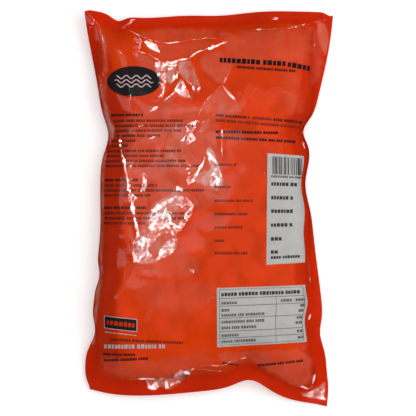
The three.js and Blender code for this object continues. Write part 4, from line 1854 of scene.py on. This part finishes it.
class Print:
    """Everything printed on the upward panel, as generic shapes."""

    LIFT = 0.13
    RAISED_LIFT = 0.30
    TEXT_HEIGHT = 2.2
    BADGE_MIDDLE = (-62.0, 105.9)
    BADGE_HALF = (22.5, 12.8)
    BADGE_WAVES = ((3.6, 14.5), (0.0, 16.0), (-3.6, 14.5))
    WAVE_HEIGHT = 1.3
    WAVE_REACH = 4.2
    PARAGRAPHS = (
        Paragraph("first heading", Ink.BOLD, 77.7, 0.0, ((-81.4, -54.3),)),
        Paragraph("first block", Ink.TEXT, 72.9, 4.14, (
            (-79.4, -21.1), (-78.2, -11.7), (-77.7, -22.6), (-77.2, -39.8), (-81.4, -60.6), (-82.7, -66.8),
        )),
        Paragraph("second block", Ink.TEXT, 47.7, 4.18, (
            (-84.8, -22.6), (-85.2, -37.0), (-86.1, -19.0), (-86.1, -4.2),
        )),
        Paragraph("third heading", Ink.BOLD, 23.4, 0.0, ((-86.9, -58.5),)),
        Paragraph("third block", Ink.TEXT, 18.9, 4.14, ((-86.9, -42.6), (-86.9, -3.3), (-87.2, -47.8))),
        Paragraph("fourth heading", Ink.BOLD, 0.2, 0.0, ((-87.2, -51.2),)),
        Paragraph("fourth block", Ink.TEXT, -4.3, 4.18, ((-87.2, -16.2), (-87.2, -16.2), (-87.6, -52.2))),
        Paragraph("bar label", Ink.TEXT, 36.1, 0.0, ((5.4, 23.4),)),
        Paragraph("first label", Ink.TEXT, 17.6, 0.0, ((5.4, 18.8),)),
        Paragraph("labels", Ink.TEXT, 6.1, 11.1, ((5.4, 37.4), (5.4, 32.8), (5.4, 28.7), (5.4, 13.4))),
        Paragraph("last label", Ink.TEXT, -37.6, 0.0, ((5.4, 32.8),)),
        Paragraph("foot row", Ink.BOLD, -122.6, 0.0, ((-88.1, -60.8),)),
    )
    ROWS = (
        (Ink.BLACK, Row((9.9, 124.0), (64.9, 120.8), 4.3)),
        (Ink.BLACK, Row((66.8, 120.4), (85.4, 116.7), 4.3)),
        (Ink.BOLD, Row((24.1, 118.0), (73.1, 114.5), 2.3)),
        (Ink.BOLD, Row((6.5, 77.4), (34.2, 75.4), 2.3)),
        (Ink.TEXT, Row((37.0, 75.2), (53.0, 74.0), 2.3)),
        (Ink.BOLD, Row((54.6, 73.8), (80.0, 71.4), 2.3)),
        (Ink.TEXT, Row((6.5, 73.3), (78.5, 67.3), 2.2)),
        (Ink.BLACK, Row((6.5, 63.6), (58.3, 62.7), 2.4)),
        (Ink.BLACK, Row((6.5, 58.9), (73.1, 55.4), 2.4)),
        (Ink.TEXT, Row((-82.3, -109.8), (-20.9, -112.4), 2.3)),
        (Ink.BOLD, Row((-87.4, -128.0), (-50.3, -125.7), 2.3)),
        (Ink.BOLD, Row((12.2, -129.5), (25.4, -132.0), 1.8)),
        (Ink.BOLD, Row((41.8, -132.0), (79.4, -127.6), 2.2)),
        (Ink.SILVER, Row((-87.1, -115.9), (-35.9, -115.2), 3.7)),
        (Ink.SILVER, Row((-86.1, -103.6), (-59.9, -106.3), 1.0)),
    )
    STRIP = Panel("strip", (48.6, -47.3), (81.3, -45.4), (49.5, 45.7), (80.4, 43.5), (
        Wave("pinched in", 0.27, 0.12, -1.3), Wave("pulled out", 0.80, 0.16, 0.7),
    ))
    BARS_START = 0.14
    BARS_SPAN = 0.79
    BARS_ALONG = (0.815, 0.975)
    BAR_WIDTHS = (1.0, 2.0, 3.0, 4.0)
    BAR_ODDS = (0.4, 0.3, 0.2, 0.1)
    # Each row's start and end across the strip, its place along it, and its height.
    STRIP_ROWS = ((0.11, 0.79, 0.727, 3.0), (0.11, 0.68, 0.603, 3.0), (0.11, 0.68, 0.481, 3.0),
                  (0.11, 0.67, 0.356, 3.0), (0.11, 0.39, 0.230, 3.0), (0.11, 0.29, 0.113, 3.0),
                  (0.11, 0.86, 0.062, 2.4))
    TABLE = Panel("table", (7.6, -116.2), (82.5, -111.7), (7.3, -66.6), (81.3, -64.2), (
        Wave("pulled out", 0.70, 0.16, 1.8), Wave("pinched in", 0.33, 0.18, -1.4),
    ))
    TABLE_MARGIN = 0.03
    TABLE_COLUMN = 0.66
    TABLE_RULES = (0.82, 0.69, 0.485, 0.26, 0.145)
    # Each row's start and end across the table, and its place along it.
    TABLE_ROWS = ((0.05, 0.225, 0.742), (0.05, 0.14, 0.622), (0.05, 0.53, 0.536), (0.05, 0.53, 0.422),
                  (0.05, 0.44, 0.322), (0.05, 0.24, 0.193), (0.05, 0.43, 0.087), (0.71, 0.83, 0.750),
                  (0.87, 0.97, 0.750), (0.92, 0.965, 0.65), (0.91, 0.965, 0.56), (0.90, 0.965, 0.44),
                  (0.89, 0.965, 0.35), (0.90, 0.965, 0.20), (0.90, 0.965, 0.09))
    SIGN = Panel("sign", (-86.7, -100.3), (-59.3, -103.1), (-86.7, -90.2), (-59.3, -92.9), ())

    def __init__(self, pouch: Pouch) -> None:
        """Starts one layer for each ink.

        Args:
            pouch: the film's mesh, on which the print lies.
        """
        raised = (Ink.RULED, Ink.STAMPED, Ink.SILVER, Ink.ORANGE)
        lifts = {ink: self.RAISED_LIFT if ink in raised else self.LIFT for ink in Ink}
        self.layers = {ink: InkLayer(pouch, ink, lift) for ink, lift in lifts.items()}
        self.draws = np.random.default_rng(61)

    def rows(self) -> None:
        """The paragraphs and the single rows that lie straight on the film."""
        for paragraph in self.PARAGRAPHS:
            for index, (start, end) in enumerate(paragraph.runs):
                y = paragraph.top - index * paragraph.spacing
                self.layers[paragraph.ink].row(Row((start, y), (end, y), self.TEXT_HEIGHT), self.draws)
        for ink, row in self.ROWS:
            self.layers[ink].row(row, self.draws)

    def panel(self, panel: Panel, columns: int, rows: int, ink: Ink = Ink.PALE) -> None:
        """A whole printed field as a grid of cells."""
        shares = np.meshgrid(np.linspace(0, 1, columns + 1), np.linspace(0, 1, rows + 1))
        self.layers[ink].field(*panel.place(*shares))

    def rule(self, panel: Panel, ink: Ink, start: Point, end: Point, width: float) -> None:
        """A thin line on a field, from one pair of shares to another."""
        shares = np.linspace(start, end, 33)
        self.layers[ink].ribbon(np.column_stack(panel.place(shares[:, 0], shares[:, 1])), width)

    def outline(self, panel: Panel, ink: Ink, margin: float, width: float) -> None:
        """A thin frame on a field.

        Args:
            panel: the field.
            ink: the frame's ink.
            margin: how far it lies inside the field's edges, as a share of the field.
            width: its width.
        """
        low, high = margin, 1.0 - margin
        corners = ((low, low), (high, low), (high, high), (low, high), (low, low))
        for start, end in zip(corners[:-1], corners[1:]):
            self.rule(panel, ink, start, end, width)

    def strip(self) -> None:
        """The pale strip: upright bars of random widths, a row of small marks under them, stamped rows."""
        self.panel(self.STRIP, 44, 124)
        widths = self.draws.choice(self.BAR_WIDTHS, size=47, p=self.BAR_ODDS)
        edges = self.BARS_START + self.BARS_SPAN * np.concatenate([[0.0], np.cumsum(widths)]) / widths.sum()
        for left, right in zip(edges[:-1:2], edges[1::2]):
            across, along = np.meshgrid([left, right], np.linspace(*self.BARS_ALONG, 17))
            self.layers[Ink.STAMPED].field(*self.STRIP.place(across, along))
        self.layers[Ink.RULED].row(self.STRIP.row((0.10, 0.93), 0.795, 1.8), self.draws)
        for start, end, along, height in self.STRIP_ROWS:
            self.layers[Ink.STAMPED].row(self.STRIP.row((start, end), along, height), self.draws)

    def table(self) -> None:
        """The pale table: a frame, a heading, ruled lines and rows of small marks."""
        self.panel(self.TABLE, 100, 66)
        low, high, column = self.TABLE_MARGIN, 1.0 - self.TABLE_MARGIN, self.TABLE_COLUMN
        self.outline(self.TABLE, Ink.RULED, low, 0.35)
        for along in self.TABLE_RULES:
            self.rule(self.TABLE, Ink.RULED, (low, along), (high, along), 0.45)
        self.rule(self.TABLE, Ink.RULED, (column, self.TABLE_RULES[0]), (column, low), 0.4)
        self.layers[Ink.STAMPED].row(self.TABLE.row((0.05, 0.93), 0.888, 3.0), self.draws)
        for start, end, along in self.TABLE_ROWS:
            self.layers[Ink.RULED].row(self.TABLE.row((start, end), along, 2.4), self.draws)

    def badge(self) -> None:
        """A plain dark oval with three pale waves: sines that shorten towards the oval's foot."""
        self.layers[Ink.BLACK].oval(self.BADGE_MIDDLE, self.BADGE_HALF, 20)
        for lift, half in self.BADGE_WAVES:
            x = np.linspace(-half, half, 65)
            y = lift + self.WAVE_HEIGHT * np.sin(x * np.pi / self.WAVE_REACH)
            self.layers[Ink.SILVER].ribbon(np.column_stack([x, y]) + np.array(self.BADGE_MIDDLE), 1.0)

    def sign(self) -> None:
        """A small dark field with a pale outline and a row of film-coloured blocks."""
        self.panel(self.SIGN, 20, 8, Ink.BLACK)
        self.outline(self.SIGN, Ink.SILVER, 0.0, 0.6)
        self.layers[Ink.ORANGE].row(self.SIGN.row((0.07, 0.93), 0.5, 4.0), self.draws)

    def build(self) -> list[tuple[Piece, str]]:
        """Makes the print.

        Returns:
            Each ink's piece, with the name of its material slot.
        """
        for part in (self.rows, self.strip, self.table, self.badge, self.sign):
            part()
        slots = {Ink.PALE: "pale_ink", Ink.SILVER: "pale_ink", Ink.ORANGE: "film"}
        return [
            (layer.build("print_" + ink.name.lower()), slots.get(ink, "dark_ink"))
            for ink, layer in self.layers.items()
        ]


# ---- The studio ----


@dataclass(frozen=True)
class SoftLight:
    """A rectangular studio light, aimed at the pouch: it lights it, shows in its gloss, or both."""

    name: str
    place: tuple[float, float, float]
    width: float
    height: float
    radiance: float
    mirrored: bool = True
    lighting: bool = True

    def build(self) -> None:
        """Makes the light; its power is its radiance times pi times its area."""
        data = bpy.data.lights.new(self.name, "AREA")
        data.shape = "RECTANGLE"
        data.size = self.width
        data.size_y = self.height
        data.energy = self.radiance * math.pi * self.width * self.height
        light = bpy.data.objects.new(self.name, data)
        light.location = self.place
        light.rotation_euler = (-Vector(self.place)).to_track_quat("-Z", "Y").to_euler()
        light.visible_camera = False
        light.visible_glossy = self.mirrored
        light.visible_diffuse = self.lighting
        bpy.context.scene.collection.objects.link(light)


@dataclass(frozen=True)
class Studio:
    """A pale floor, soft light and the camera straight above the pouch."""

    frame_width: float = 0.3503
    camera_height: float = VIEWER_HEIGHT
    reference_height: float = 0.017
    floor_size: float = 6.0
    lights: tuple[SoftLight, ...] = (
        SoftLight("overhead_left", (-0.45, 0.40, 1.5), 0.46, 1.0, 1.0, lighting=False),
        SoftLight("ceiling", (0.0, 0.0, 2.2), 1.7, 1.7, 0.05, lighting=False),
        SoftLight("left_pane", (-1.2, 0.0, 1.0), 0.30, 1.2, 1.3, lighting=False),
        SoftLight("overhead_fill", (0.40, 0.15, 1.9), 1.5, 1.5, 2.5, mirrored=False),
        SoftLight("left_fill", (-1.3, 0.0, 1.1), 1.2, 1.6, 0.30, mirrored=False),
        SoftLight("right_fill", (1.3, 0.1, 1.1), 1.2, 1.6, 1.6, mirrored=False),
        SoftLight("top_fill", (0.0, 1.5, 1.2), 1.6, 0.9, 1.5, mirrored=False),
        SoftLight("bottom_fill", (0.0, -1.5, 1.0), 1.6, 0.9, 1.35, mirrored=False),
    )
    lamp_size: float = 0.12
    lamp_radiance: float = 70.0

    def build(self, centre: Point) -> None:
        """Makes the floor, the lights, the world and the camera.

        Args:
            centre: the plan place of the object's origin; the photo's middle is the plan's zero.
        """
        self.floor()
        for light in self.lights:
            light.build()
        for lamp in Lamp:
            SoftLight(
                lamp.name.lower() + "_lamp", lamp.value, self.lamp_size, self.lamp_size, self.lamp_radiance,
                lighting=False,
            ).build()
        self.world()
        self.camera(centre)
        scene = bpy.context.scene
        scene.view_settings.view_transform = "Standard"
        scene.view_settings.look = "None"

    def floor(self) -> None:
        """A large pale plane on which the pouch lies."""
        half = self.floor_size / 2
        corners = np.array([(-half, -half, 0), (half, -half, 0), (half, half, 0), (-half, half, 0)], float)
        recipe = Recipe("pale_floor")
        for name, value in (
            ("Roughness", recipe.ranged(recipe.cloud(3.0), (0.0, 1.0), (0.6, 0.7))),
            ("Base Color", (0.86, 0.86, 0.86, 1)),
            ("Emission Color", (1, 1, 1, 1)), ("Emission Strength", 0.35),
        ):
            recipe.feed(recipe.shader.inputs[name], value)
        floor = make_piece("floor", corners, np.array([[0, 1, 2, 3]]), recipe.material)
        floor.visible_glossy = False

    def world(self) -> None:
        """Even pale light from all round."""
        world = bpy.data.worlds.new("studio")
        world.use_nodes = True
        background = world.node_tree.nodes["Background"]
        background.inputs["Color"].default_value = (1, 1, 1, 1)
        background.inputs["Strength"].default_value = 0.12
        world.cycles_visibility.glossy = False
        bpy.context.scene.world = world

    def camera(self, centre: Point) -> None:
        """Makes a camera that looks straight down on the photo's middle, and takes in the photo's width.

        Args:
            centre: the plan place of the object's origin.
        """
        data = bpy.data.cameras.new("camera")
        distance = self.camera_height - self.reference_height
        data.sensor_width = 36.0
        data.lens = data.sensor_width * distance / self.frame_width
        data.clip_end = 20.0
        camera = bpy.data.objects.new("camera", data)
        camera.location = (-centre[0] * MM, -centre[1] * MM, self.camera_height)
        bpy.context.scene.collection.objects.link(camera)
        bpy.context.scene.camera = camera


# ---- Putting it together ----


def keep(piece: Piece) -> None:
    """Lets a piece ride on the pouch's body and reports it.

    Args:
        piece: the piece.
    """
    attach(piece, "root")
    log.info("%s: %d vertices, %d faces", piece.name, len(piece.data.vertices), len(piece.data.polygons))


def main() -> None:
    """Builds the pouch, its print and the studio."""
    logging.basicConfig(level=logging.INFO, format="%(message)s")
    pillow = Pillow()
    centre = pillow.centre()
    film = UpperFilm(pillow, Filling(), centre)
    pouch = Pouch(pillow, film, centre)
    shell = pouch.build()
    keep(shell)
    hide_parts("pouch")
    for piece, slot in Print(pouch).build():
        keep(piece)
    Studio().build(centre)


if __name__ == "__main__":
    main()
